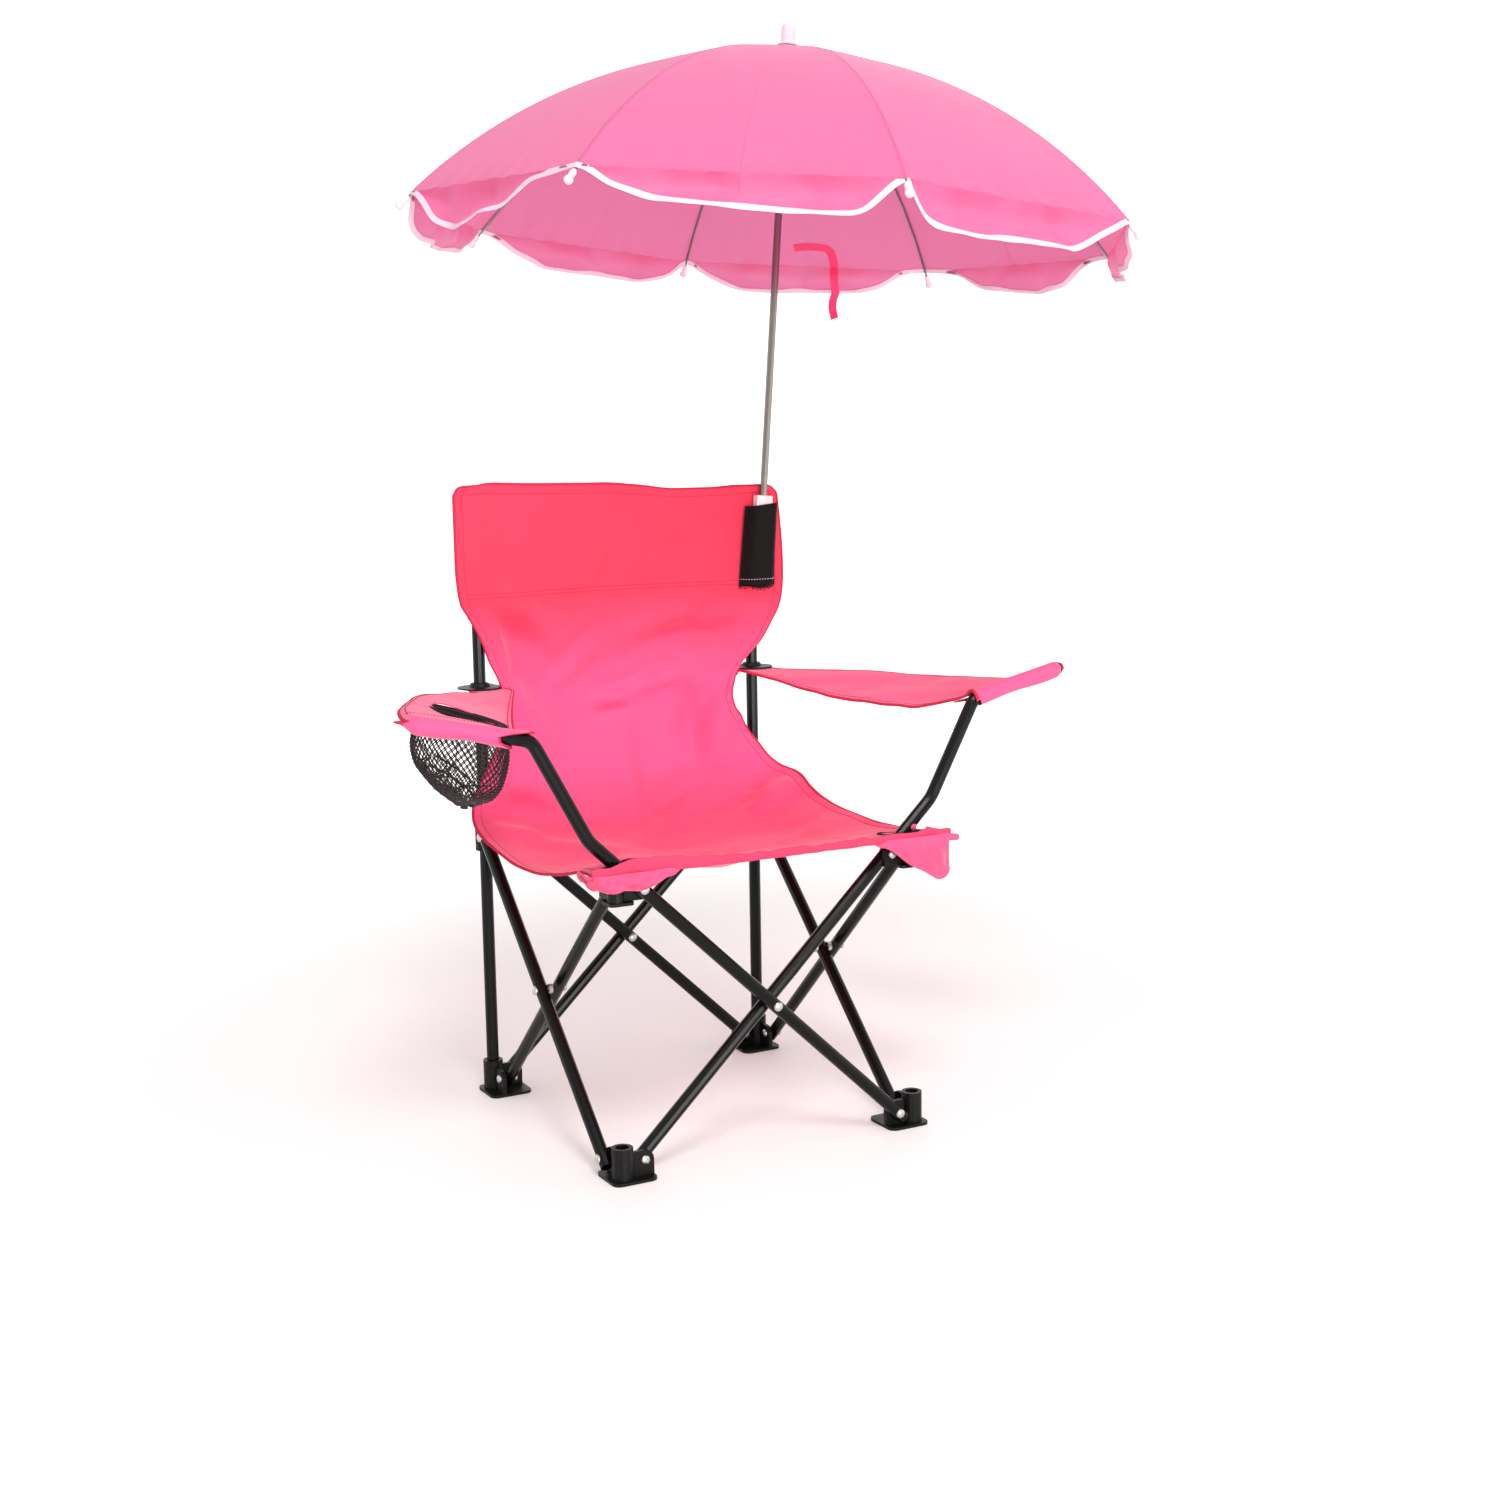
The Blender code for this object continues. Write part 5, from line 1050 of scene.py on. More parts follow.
def seat_surface(across, v):
    """The seat from its front hem (v = 0) to its seam with the back (v = 1)."""
    across, v = np.broadcast_arrays(across[None], v[:, None])
    halves, heights = ({side: [(row[0], row[i]) for row in SEAT_EDGES[side]] for side in (-1, 1)} for i in (1, 2))
    half = sided(halves, across, v)
    held = np.clip((v - SEAT_HELD) / (1 - SEAT_HELD), 0, 1)
    middle = np.sin(math.pi * held) ** 0.8
    fold = SEAT_EDGE_SAG * 0.22 * np.cos(3 * math.pi * across) * middle * (1 - across**4)
    rise = (SEAM_MIDDLE - SEAT_HEIGHT) * v * v * (3 - 2 * v)
    centre = SEAT_HEIGHT + 0.002 * (1 - v) ** 6 + rise - SEAT_SAG * middle
    share = abs(across) ** 2.2
    z = centre + (sided(heights, across, v) - centre) * share - fold
    y = -SEAT_FRONT + v * (SEAT_FRONT + SEAT_REAR)
    x = across * half
    z = z + 0.003 * (1 - v) ** 6 + 0.0095 * np.exp(-(((x + 0.143) / 0.034) ** 2) - ((y + 0.155) / 0.026) ** 2)
    return above_hubs(np.stack([x, y, z], -1))


def back_surface(across, v):
    """The back from its seam (v = 0) to its top hem (v = 1), round at its top corners."""
    across, v = np.broadcast_arrays(across[None], v[:, None])
    corner = np.where(across < 0, BACK_CORNERS[-1], BACK_CORNERS[1])
    height = BACK_TOP - SEAM_MIDDLE
    near_top = np.clip((v - 1) * height / corner + 1, 0, 1)
    edge = np.where(across < 0, SEAT_EDGES[-1][-1][2], SEAT_EDGES[1][-1][2]) + CLOTH + 0.0003
    half = sided(BACK_EDGES, across, edge + v * (BACK_TOP - edge)) - corner * (1 - np.sqrt(1 - near_top**2))
    bottom = SEAM_MIDDLE + (edge - SEAM_MIDDLE) * abs(across) ** 2.2
    free = np.minimum(1.0, abs(across) * half / (CORNER - COLLAR_RADIUS))
    belly = (1 - free**2) * BACK_HOLLOW * eased(BACK_HOLLOWS, v)
    forward = (BACK_PLANE - SEAT_REAR) * eased(BACK_FORWARDS, v)
    level = bottom + v * (BACK_TOP - bottom) + eased(BACK_TOP_LINE, across) * v**6
    return np.stack([across * half, BACK_PLANE + belly - forward, level], -1)


def body_cloth(look):
    """Seat and back as one grid of points with normals, thickness and UV places, and the row of their seam."""
    depth = SEAT_FRONT + SEAT_REAR
    seat_v = np.concatenate([[0.0, 0.002 / depth, 0.005 / depth], np.linspace(look.hem / depth, 1.0, 96)])
    near = np.array([0.0, 0.0007, 0.0018, 0.0026, 0.0034, look.hem - 0.0002, look.hem + 0.0008, look.hem + 0.0018])
    ends = 1 - near[::-1] / (BACK_TOP - SEAM_MIDDLE)
    back_v = np.concatenate([np.linspace(0, ends[0], 112)[1:-1], ends])
    across = edge_lines(SEAT_HALF_WIDTH, look.hem, 112)
    points = np.concatenate([seat_surface(across, seat_v), back_surface(across, back_v)])
    seam = len(seat_v) - 1
    rows = np.arange(len(points))
    # Rounds the turn at the seam over about seven rows to each side
    weight = np.exp(-(((rows - seam) / 7.0) ** 2))[:, None, None]
    for _ in range(24):
        middle = points.copy()
        middle[1:-1] = (points[:-2] + points[2:]) / 2
        points = points + (middle - points) * weight * 0.6
    normals = grid_normals(points)
    lift = folded(points, normals, look.fold, look.fold_width)
    for scale, size, seed in ((22.0, 0.0022, 3.1), (9.0, 0.0035, 1.7), (60.0, 0.0006, 7.7)):
        lift = lift + unevenness(points, scale, size, seed)
    # No folds where the posts, the side hems and the front hem hold the cloth
    across = np.linspace(-1, 1, points.shape[1])[None]
    held_back = np.clip((0.95 - abs(points[..., 0]) / CORNER) / 0.12, 0, 1)
    held_front = np.clip((points[..., 1] + SEAT_FRONT - 0.012) / 0.03, 0, 1)
    held_seat = np.clip((1.0 - abs(across)) / 0.10, 0.25, 1) * held_front
    held = np.where((rows <= seam)[:, None], held_seat, held_back)
    points = points + normals * (lift * held)[..., None]
    normals = grid_normals(points)
    wide, tall = hem_half(points.shape[1], look), hem_half(len(points), look)
    half = np.maximum(wide, wide[::-1])[None] + np.maximum(tall[::-1] - tall[-1], 0)[:, None]
    return points, normals, half, np.stack([points[..., 0], arc_lengths(points, 0)], -1), seam


def canopy_surface(gore_share, level):
    """The canopy's cloth: round it in gores from the first rib, and from its crown over its edge to its hem."""
    gore_share, level = np.broadcast_arrays(gore_share, level)
    turn = RIB_PHASE + gore_share * GORE
    within = np.mod(gore_share, 1.0)
    from_middle = (within - 0.5) * GORE
    share = np.minimum(level, 0.984)
    radius, height = rib_curve(share)
    out, up = rib_normal(share)
    radius = radius + out * 0.0011
    height = height + up * (0.0011 + RIB_RADIUS)
    chord = math.cos(GORE / 2) / np.cos(from_middle)
    pull = 1 + (chord - 1) * np.clip(share / 0.25, 0, 1) ** 1.5
    droop = np.maximum(0.0, level - 1.0)
    gore = np.mod(np.floor(gore_share), RIB_COUNT).astype(int)
    hang = np.zeros_like(within)
    for number, table in enumerate(HANGS):
        rounded = sum(eased(table, within + shift) for shift in (-0.03, -0.015, 0.0, 0.015, 0.03)) / 5
        hang = np.where(gore == number, rounded, hang)
    loose = np.clip(hang / 0.02, 0, 1)
    wave = np.sin(within * 5.2 * math.pi + gore * 1.7) * 0.7 + 0.3 * np.sin(within * 13 * math.pi + gore * 2.9)
    radius = radius * pull + droop * hang * (0.16 + 0.16 * wave * droop)
    radius = radius - 0.34 * hang * np.sin(math.pi * droop) * (0.75 + 0.35 * wave)
    pucker = np.sin(within * 16 * math.pi + 2.0 * gore) * np.clip(share * 9 - 8, 0, 1) * loose
    swell = np.clip(share * 1.3 - 0.3, 0, 1) * (1 - abs(2 * within - 1) ** 2) * np.sin(share * math.pi)
    height = height - droop * hang + (0.0009 * pucker + 0.004 * swell) * (level <= 1.0)
    return on_umbrella(height, radius, turn)


def rib_sideways(number):
    """The direction square to a rib and to the shaft."""
    _, left, front = umbrella_axes()
    turn = RIB_PHASE + number * GORE
    return -left * math.sin(turn) + front * math.cos(turn)


# Operators


def seen(tree, *kinds):
    """1 where a ray of one of these kinds meets the stage, otherwise 0."""
    ray = node(tree, "ShaderNodeLightPath").outputs
    found = ray[f"Is {kinds[0]} Ray"]
    for kind in kinds[1:]:
        found = node(tree, "ShaderNodeMath", {0: found, 1: ray[f"Is {kind} Ray"]}, operation="MAXIMUM")
    return found


class CHAIR_OT_stage(bpy.types.Operator):
    """Sets the pale floor and backdrop, soft studio lights and the camera at the photograph's angle."""

    bl_idname = "chair.stage"
    bl_label = "Stage"

    def execute(self, context):
        look = context.scene.stage_look
        paint, tree, shader = material("painted studio floor", look.floor, 0.55)
        place = node(tree, "ShaderNodeTexCoord").outputs["Object"]
        mottled(tree, shader, look.floor, place, 1.5, 0.99, 1.0)
        # The floor and backdrop glow to read white, less near the chair: the darker floor round the chair is painted
        # shade
        far = node(tree, "ShaderNodeVectorMath", {0: place}, operation="LENGTH").outputs["Value"]
        limits = {"Value": far, "From Min": 0.55, "From Max": 1.7, "To Min": 0.18, "To Max": 0.75}
        level = node(tree, "ShaderNodeMapRange", limits, interpolation_type="SMOOTHSTEP")
        inputs = {0: seen(tree, "Camera", "Glossy", "Transmission"), 1: level}
        glow = node(tree, "ShaderNodeMath", inputs, operation="MULTIPLY").outputs["Value"]
        shader.inputs["Emission Color"].default_value = (1, 1, 1, 1)
        tree.links.new(glow, shader.inputs["Emission Strength"])
        pile = Pile()
        reach, wall, bend, top = 5.0, 3.0, 1.2, 4.5
        turns = np.linspace(0, math.pi / 2, 16)
        line = [(wall + bend * math.sin(t), bend - bend * math.cos(t)) for t in turns]
        line = [(-reach, 0.0), *line, (wall + bend, top)]
        grid = np.array([[(x, y, z) for x in np.linspace(-reach * 1.6, reach * 1.6, 9)] for y, z in line])
        pile.add(grid, quads(np.arange(grid.shape[0] * grid.shape[1]).reshape(grid.shape[:2])).reshape(-1, 4))
        pile.make("floor", [paint])

        world = context.scene.world or bpy.data.worlds.new("World")
        context.scene.world = world
        world.use_nodes = True
        tree = world.node_tree
        tree.nodes.clear()
        inputs = {"Value": seen(tree, "Camera", "Glossy"), "To Min": look.sky, "To Max": 1.0}
        strength = node(tree, "ShaderNodeMapRange", inputs)
        sky = node(tree, "ShaderNodeBackground", {"Color": (1, 0.985, 0.98, 1), "Strength": strength})
        node(tree, "ShaderNodeOutputWorld", {"Surface": sky})

        target = CHAIR_MIDDLE + Vector((0.1, 0.0, 0.5))
        for name, place, size, power, tint in (
            ("key", (-0.75, -2.1, 2.85), 1.0, look.key, (1.0, 0.99, 0.99)),
            ("front", (-0.3, -3.0, 0.40), 1.4, look.fill, (1.0, 0.98, 0.97)),
            ("fill", (2.6, -1.4, 1.2), 2.0, look.fill * 0.2, (1.0, 0.99, 0.99)),
        ):
            lamp = bpy.data.lights.new(name, "AREA")
            lamp.shape = "DISK"
            lamp.size = size
            lamp.energy = power
            lamp.color = tint
            obj = placed(name, lamp)
            obj.location = CHAIR_MIDDLE + Vector(place)
            obj.rotation_euler = (target - obj.location).to_track_quat("-Z", "Y").to_euler()

        # The camera fitted to the photograph's tubes: a focal length in pixels, three axes and its place
        lens = bpy.data.cameras.new("camera")
        lens.sensor_width = 36.0
        lens.lens = 2088.42 * lens.sensor_width / 1500
        lens.clip_start = 0.05
        camera = placed("camera", lens)
        right = Vector((0.87647709, -0.4812075, -0.01507476))
        up = Vector((0.08721393, 0.1279032, 0.98794458))
        back = Vector((-0.47347823, -0.86722553, 0.15407222))
        camera.rotation_euler = Matrix((right, up, back)).transposed().to_euler()
        camera.location = CHAIR_MIDDLE + Vector((-0.96067, -1.88866, 0.70864))
        context.scene.camera = camera
        context.scene.view_settings.view_transform = "Standard"
        return {"FINISHED"}


class CHAIR_OT_finishes(bpy.types.Operator):
    """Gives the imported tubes, mouldings, rivets, shaft and ribs their finishes."""

    bl_idname = "chair.finishes"
    bl_label = "Frame finishes"

    def execute(self, context):
        look, frame_look = context.scene.umbrella_look, context.scene.frame_look
        by_slot = {
            "black_paint": enamel("stoved enamel", frame_look.enamel),
            "black_plastic": moulded_plastic("moulded nylon", frame_look.plastic),
            "zinc": zinc("zinc-plated steel", frame_look.zinc),
            "chrome": chrome("chromed steel", frame_look.chrome),
            "white_plastic": glossy_plastic("waxy polypropylene", look.plastic),
        }
        for part in frame["record"]["subparts"]:
            if part["material_slot"] in by_slot:
                for slot in frame["nodes"][part["node"]].material_slots:
                    slot.material = by_slot[part["material_slot"]]
        for slot in frame["nodes"]["umbrella_handle"].material_slots:
            slot.material = glossy_plastic("tinted polypropylene", look.handle)
        return {"FINISHED"}


class CHAIR_OT_body_cloth(bpy.types.Operator):
    """Sews the back and the two halves of the seat from one sheet of cloth, with hems, folds and stitching."""

    bl_idname = "chair.body_cloth"
    bl_label = "Seat and back"

    def execute(self, context):
        look = context.scene.chair_cloth
        cloth = chair_cloth(context)
        thread = sewing_thread("pink thread", look.thread)
        points, normals, half, places, seam = body_cloth(look)
        middle = seam // 2
        raised = points + normals * (half + 0.0001)[..., None]
        cuts = {
            "back_cloth": (seam, len(points)),
            "seat_cloth_rear": (middle, seam + 1),
            "seat_cloth_front": (0, middle + 1),
        }
        rows, made = {}, {}
        lips = np.zeros((len(points) - 1, points.shape[1] - 1), int)
        lips[:, :LIP] = lips[:, -LIP:] = lips[-LIP:] = EDGE_SLOT
        edging = tape_cloth("doubled canvas edge", look.edge)
        black = tape_cloth("black edging tape", linear(BLACK_EDGING))
        for name, (start, end) in cuts.items():
            pile = Pile()
            part = slice(start, end)
            pile.shell(points[part], half[part], lips[start : end - 1], normals[part], places[part])
            made[name] = pile.make(name, [cloth, thread, black, edging])
            lines = [raised[start:end, STITCHED], raised[start:end, -1 - STITCHED]]
            rows[name] = [line[:: max(1, len(line) // 60)] for line in lines]
        rows["back_cloth"].append(raised[-1 - STITCHED, STITCHED + 1 : -1 - STITCHED])
        rows["back_cloth"] += [self.level_line(raised[seam:], height) for height in (0.5335, 0.5375)]
        rows["seat_cloth_front"].append(raised[3, STITCHED + 2 : -2 - STITCHED])
        cut(made["seat_cloth_front"], [self.slit(side) for side in (-1, 1)])
        added = {"seat_cloth_rear": [], "back_cloth": [self.sleeves([cloth])]}
        roll = tape_cloth("rolled canvas hem", look.roll)
        added["seat_cloth_front"] = [self.front_roll(points, [roll]), self.slit_rings(points, [black])]
        for name, (start, end) in cuts.items():
            border = [row for row in (start, end - 1) if 0 < row < len(points) - 1]
            faces = [(row, side) for row in border for side in (1, -1)]
            edge = np.concatenate([points[row] + side * normals[row] * half[row][:, None] for row, side in faces])
            keep_normals(made[name], edge, np.concatenate([normals[row] for row, _ in faces]))
            sewn = stitches(context, name + "_stitches", rows[name], thread)
            made[name] = join(name, [made[name], sewn, *added[name]])
        width, depth, tall = 2 * SEAT_HALF_WIDTH, SEAT_FRONT + SEAT_REAR, BACK_TOP - SEAM_MIDDLE
        for name, body, nodes, flat in (
            ("back_cloth", "base", ["back_panel"], (width * 1.08, tall * 1.3)),
            ("seat_cloth_rear", "seat_rear", ["seat_panel"], (width * 1.05, depth * 0.55)),
            ("seat_cloth_front", "seat_front", [], (width * 1.1, depth * 0.6)),
        ):
            piece = made[name]
            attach(piece, body)
            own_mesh(piece)
            if nodes:
                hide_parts(*nodes)
        return {"FINISHED"}

    def level_line(self, grid, height):
        """A line across the back at one height."""
        line = []
        for column in range(STITCHED + 1, grid.shape[1] - STITCHED - 1):
            strip = grid[:, column]
            row = int(np.argmax(strip[:, 2] > height))
            share = (height - strip[row - 1][2]) / (strip[row][2] - strip[row - 1][2])
            line.append(strip[row - 1] + (strip[row] - strip[row - 1]) * share)
        return np.array(line)

    def sleeves(self, materials):
        """The cloth sleeves behind the back that take the posts."""
        pile = Pile()
        count, caps = 26, np.array([0.002, 0.004, 0.0055])
        heights = np.concatenate([np.linspace(SLEEVE_BOTTOM, POST_TOP, count), POST_TOP + caps])
        reach = np.concatenate([np.full(count, 1.0), [0.85, 0.55, 0.1]])
        reach[:2] = (0.97, 1.0)
        turns = np.linspace(-0.5, 0.5, 15)
        for side in (-1, 1):
            rings = []
            for height, deep in zip(heights, reach):
                x = side * CORNER + np.sin(turns * math.pi) * (0.0088 + 0.0042 * abs(2 * turns) ** 6)
                y = BACK_PLANE + CLOTH / 2 + 0.0004 + (0.0144 * np.cos(turns * math.pi) ** 0.8) * deep
                rings.append(np.stack([x, y, np.full_like(x, height)], -1))
            pile.shell(np.array(rings)[:, ::-1], 0.0006)
        return pile.make("sleeves", materials)

    def front_roll(self, points, materials):
        """The rolled hem along the seat's front edge."""
        pile = Pile()
        turns = np.linspace(0, 2 * math.pi, 10, endpoint=False)
        ring = np.stack([0.0021 * np.cos(turns), 0.0040 * np.sin(turns)], -1)
        edge = points[0] + np.array([0.0, -0.0006, 0.0])
        tall = 1 + 0.75 * np.exp(-(((edge[:, 0] + 0.13) / 0.06) ** 2)) + unevenness(edge, 55.0, 0.45, 2.2)
        edge = edge + unevenness(edge, 90.0, 0.0012, 4.2)[:, None] * np.array([0.0, 1.0, 0.3])
        edge[:, 2] += 0.0040 * tall - 0.0045
        count = len(edge)
        up = np.array([0.0, 0.0, 1.0]) * tall[:, None]
        pile.sweep(edge, np.tile([0.0, -1.0, 0.0], (count, 1)), up, ring)
        return pile.make("front_roll", materials)

    def slit_ring(self, side, grow=0.0, count=28):
        """The outline of the slit that an arm's tube comes up through, round its middle."""
        low, high = tube_line("x", -1, side, side)
        slope = (high.z - low.z) / abs(high.x - low.x)
        centre = np.array(high) + np.array([side * (SEAT_HEIGHT - HUB_PIVOT) / slope, 0, SEAT_HEIGHT - HUB_PIVOT])
        turns = np.linspace(0, 2 * math.pi, count, endpoint=False)
        along, across = np.cos(turns), np.sin(turns)
        long = (0.0235 + grow) * np.sign(along) * abs(along) ** 0.8
        wide = (0.0068 + grow) * np.sign(across) * abs(across) ** 0.9
        return centre, np.stack([long, wide], -1)

    def slit(self, side):
        """A cutter for that slit."""
        centre, ring = self.slit_ring(side)
        pile = Pile()
        path = np.array([centre - [0, 0, 0.02], centre + [0, 0, 0.02]])
        pile.sweep(path, np.tile([1.0, 0, 0], (2, 1)), np.tile([0, 1.0, 0], (2, 1)), ring)
        return pile.make("slit", [])

    def slit_rings(self, points, materials):
        """The black tape sewn round the slits."""
        pile = Pile()
        flat = points[:60].reshape(-1, 3)  # the rows round the slits
        for side in (-1, 1):
            centre, ring = self.slit_ring(side, 0.0010, 48)
            places = centre[:2] + ring
            level = [flat[((flat[:, :2] - place) ** 2).sum(1).argmin()][2] for place in places]
            path = np.concatenate([places, np.array(level)[:, None]], 1)
            along = unit(np.roll(path, -1, 0) - np.roll(path, 1, 0))
            up = np.tile([0.0, 0.0, 1.0], (len(path), 1))
            out = unit(np.cross(along, up))
            pile.sweep(path, out, up, SLIT_TAPE, closed=True)
        return pile.make("slit_rings", materials)


class CHAIR_OT_hubs_cloth(bpy.types.Operator):
    """Sews the pockets over the front hubs at the seat's corners."""

    bl_idname = "chair.corner_pockets"
    bl_label = "Corner pockets"

    def execute(self, context):
        cloth = chair_cloth(context)
        thread = sewing_thread("pink thread", context.scene.chair_cloth.thread)
        # Along the rim from its inner end, round the corner and back along the side: across, forward, drop, outward
        rims = {
            "left": (
                (0.106, 0.0, 0.0015, 0.0), (0.120, 0.0015, 0.0060, 0.001), (0.137, 0.003, 0.0120, 0.003),
                (0.155, 0.004, 0.0135, 0.005), (0.172, 0.004, 0.0130, 0.005), (0.186, 0.003, 0.0125, 0.004),
                (0.1955, 0.001, 0.0105, 0.003), (0.1985, -0.007, 0.0085, 0.002), (0.1975, -0.018, 0.0060, 0.001),
                (0.195, -0.034, 0.0015, 0.0),
            ),
            "right": (
                (0.108, 0.0, 0.0015, 0.0), (0.118, 0.001, 0.0055, 0.001), (0.137, 0.003, 0.0180, 0.003),
                (0.155, 0.004, 0.0300, 0.006), (0.170, 0.004, 0.0390, 0.007), (0.184, 0.003, 0.0415, 0.006),
                (0.1945, 0.001, 0.0350, 0.003), (0.1985, -0.007, 0.0260, 0.001), (0.1975, -0.020, 0.0140, 0.0),
                (0.194, -0.038, 0.0015, 0.0),
            ),
        }
        for side, label in ((-1, "left"), (1, "right")):
            rim = np.array(rims[label])
            fine = np.linspace(0, len(rim) - 1, 73)
            x, ahead, drop, out = (eased(list(enumerate(rim[:, i])), fine) for i in range(4))
            y = -SEAT_FRONT - ahead
            outward = unit(np.stack([np.gradient(-y), np.gradient(x)], -1))
            if outward[:, 1].mean() < 0:
                outward = -outward
            rows = []
            for share in np.linspace(0, 1, 22):
                swell = math.sin(math.pi * min(1.0, share * 1.15)) * 0.0030 * drop / drop.max()
                waves = np.sin(fine * 2.3 + 5.5 * share + side) + 0.6 * np.sin(fine * 5.1 - 7.0 * share)
                crease = 0.0026 * waves * math.sin(math.pi * share) * drop / drop.max()
                push = out * share + swell + crease
                place = np.stack([side * (x + outward[:, 0] * push), y - abs(outward[:, 1]) * push], -1)
                level = SEAT_HEIGHT + 0.0040 - (drop + 0.0018) * share - 0.0012 * share * np.sin(fine * 3.1)
                rows.append(np.concatenate([place, level[:, None]], 1))
            grid = np.array(rows)[::-1]
            if side < 0:
                grid = grid[:, ::-1]
            pile = Pile()
            half = np.full(grid.shape[:2], 0.0006)
            half[:2] = 0.0013
            pile.shell(grid, half)
            if side > 0:
                # The right end of the rolled hem, and the end of the slit's tape that stands up
                end = np.array([side * 0.1965, -SEAT_FRONT - 0.0015, SEAT_HEIGHT - 0.0008])
                roll = [[-0.012, 0.001, 0.0012], [-0.004, 0.0, 0.0006], [0.003, 0.0, 0.0], [0.0085, 0.0, -0.0006]]
                pile.tube(end + np.array(roll), [0.0026, 0.0036, 0.0036, 0.0033], 14)
                tab = [[-0.006, 0, -0.002], [-0.004, 0, -0.001], [0, 0, 0], [0.003, 0, 0], [0.0045, 0, 0]]
                pile.tube(np.array(SLIT_TAB) + np.array(tab), [0.0012, 0.0032, 0.0045, 0.0036, 0.0008], 14)
            piece = pile.make("corner_pocket_" + label, [cloth, thread])
            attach(piece, "seat_front")
            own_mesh(piece)
            if side > 0:
                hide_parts("seat_front_hem")
        return {"FINISHED"}


class CHAIR_OT_arms(bpy.types.Operator):
    """Sews both arms, with the hem round the tube's bar, the edge hems, the cup opening and its binding."""

    bl_idname = "chair.arms"
    bl_label = "Arms"

    def execute(self, context):
        look = context.scene.chair_cloth
        # The arms take the paler copy of the cloth: painted light
        cloth = chair_cloth(context, single=True)
        thread = sewing_thread("pink thread", look.thread)
        black = tape_cloth("black edging tape", linear(BLACK_EDGING))
        edging = tape_cloth("doubled canvas edge", look.edge)
        for side, label in ((-1, "left"), (1, "right")):
            grid, half, first = self.grid(side, look)
            order = 1 if side > 0 else -1
            grid, half = grid[:, ::order], half[:, ::order]
            normals = grid_normals(grid)
            places = np.stack([arc_lengths(grid, 1), arc_lengths(grid, 0)], -1)
            lips = np.zeros((len(grid) - 1, grid.shape[1] - 1), int)
            lips[:, :LIP] = lips[:, -LIP:] = EDGE_SLOT
            split = first + 5
            made = []
            for name, near, far in (("arm_hem_", 0, split), ("arm_cloth_", split, len(grid) - 1)):
                pile = Pile()
                rows = slice(near, far + 1)
                pile.shell(grid[rows], half[rows], lips[near:far], normals[rows], places[rows])
                made.append(pile.make(name + label, [cloth, thread, black, edging]))
            hem, piece = made
            cut(hem, [self.tube_way(side)])
            raised = grid + normals * (half + 0.0001)[..., None]
            lines = [raised[split:, STITCHED - 1], raised[split:, -STITCHED], raised[split + 1, 5:-5]]
            cutters, extra = [self.post_way(side)], []
            if side < 0:
                centre, up = cup_place()
                cutters.append(self.round_way(centre, up, CUP_RADIUS - 0.0005))
                extra.append(self.binding(centre, up, black))
            cut(piece, cutters)
            sewn = stitches(context, "sewn", [line[::2] for line in lines], thread)
            piece = join("arm_cloth_" + label, [piece, sewn, *extra])
            # The hem, round its bar, and the cloth behind it both go with the arm
            start, seam = arm_line(side)[0][1], float(grid[split, 0, 1])
            for each in (hem, piece):
                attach(each, "armrest_" + label)
            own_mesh(piece)
            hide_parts("armrest_" + label)
        return {"FINISHED"}

    def grid(self, side, look):
        """The arm's cloth from under the bar, round its front and back to the post."""
        count = 64
        near = np.array([0.0, 0.0007, 0.0018, 0.0028, 0.0060, 0.0066]) / 0.10
        across = np.concatenate([near, np.linspace(near[-1], 1 - near[-1], count)[1:-1], 1 - near[::-1]])
        # Round the bar, from under it by its front to its top: how far behind its middle line, and above it
        wrap = ((0.0180, -0.0006), (0.0130, -0.0034), (0.0085, -0.0060), (0.0042, -0.0078), (0.0, -0.0082),
                (-0.0042, -0.0071), (-0.0072, -0.0042), (-0.0082, 0.0), (-0.0073, 0.0040), (-0.0046, 0.0066),
                (-0.0020, 0.0075))
        along = np.concatenate([[0.0], np.linspace(0.012, 0.985, 92), [0.992, 0.997, 1.0]])
        surface = arm_surface(side, *np.broadcast_arrays(across[None], along[:, None]))
        inner, outer, bar = arm_ends(side)
        up = np.array([-bar[2], 0.0, bar[0]]) * side
        swell = 1 + 0.12 * np.sin(across * 9.0 + 1.0)[:, None]
        start = MOUTH if side < 0 else (0.0,) * len(wrap)
        tip = -unit(inner - outer) * 0.010 * np.clip(across * 8 - 7, 0, 1)[:, None] ** 2
        rows = []
        for (y, n), opened in zip(wrap, start):
            line = inner + (outer - inner) * (opened + (1 - opened) * across[:, None])
            line = line + tip * math.exp(-((n + 0.004) ** 2) / 0.00002) * (side < 0)
            flat = tip_flat(side, across)[:, None]
            rows.append(line + np.array([0.0, y, 0.0]) * flat + up * n * flat * np.where(n < 0, swell, 1.0))
        rows[0] = arm_surface(side, across, np.full_like(across, 0.060)) - np.array([0, 0, 0.0022])
        grid = np.concatenate([rows, surface])
        first = len(wrap)
        v, u = along[:, None], across[None]
        free = np.clip((0.8 - v) * 6, 0, 1)
        ripple = 0.0016 * np.sin(v * 17 + u * 3.5 + side) * np.sin(math.pi * u)
        ripple = ripple + 0.0009 * np.sin(v * 19 + side * 1.3) * abs(2 * u - 1) ** 3 * np.clip(v * 5, 0, 1)
        ripple = ripple + unevenness(grid[first:], 35.0, 0.0016, 5.3 + side)
        grid[first:, :, 2] += ripple * free * np.clip(v * 10, 0, 1)
        wide = hem_half(grid.shape[1], look)
        half = np.maximum(wide, wide[::-1])[None] * np.ones((len(grid), 1))
        half[:first] = np.minimum(half[:first], 0.0008)
        half[-5:] += look.hem_lift
        return grid, half, first

    def round_way(self, centre, up, radius, reach=0.03):
        """A round cutter."""
        pile = Pile()
        path = np.array([centre - up * reach, centre + up * reach])
        pile.tube(path, radius, 48)
        return pile.make("way", [])

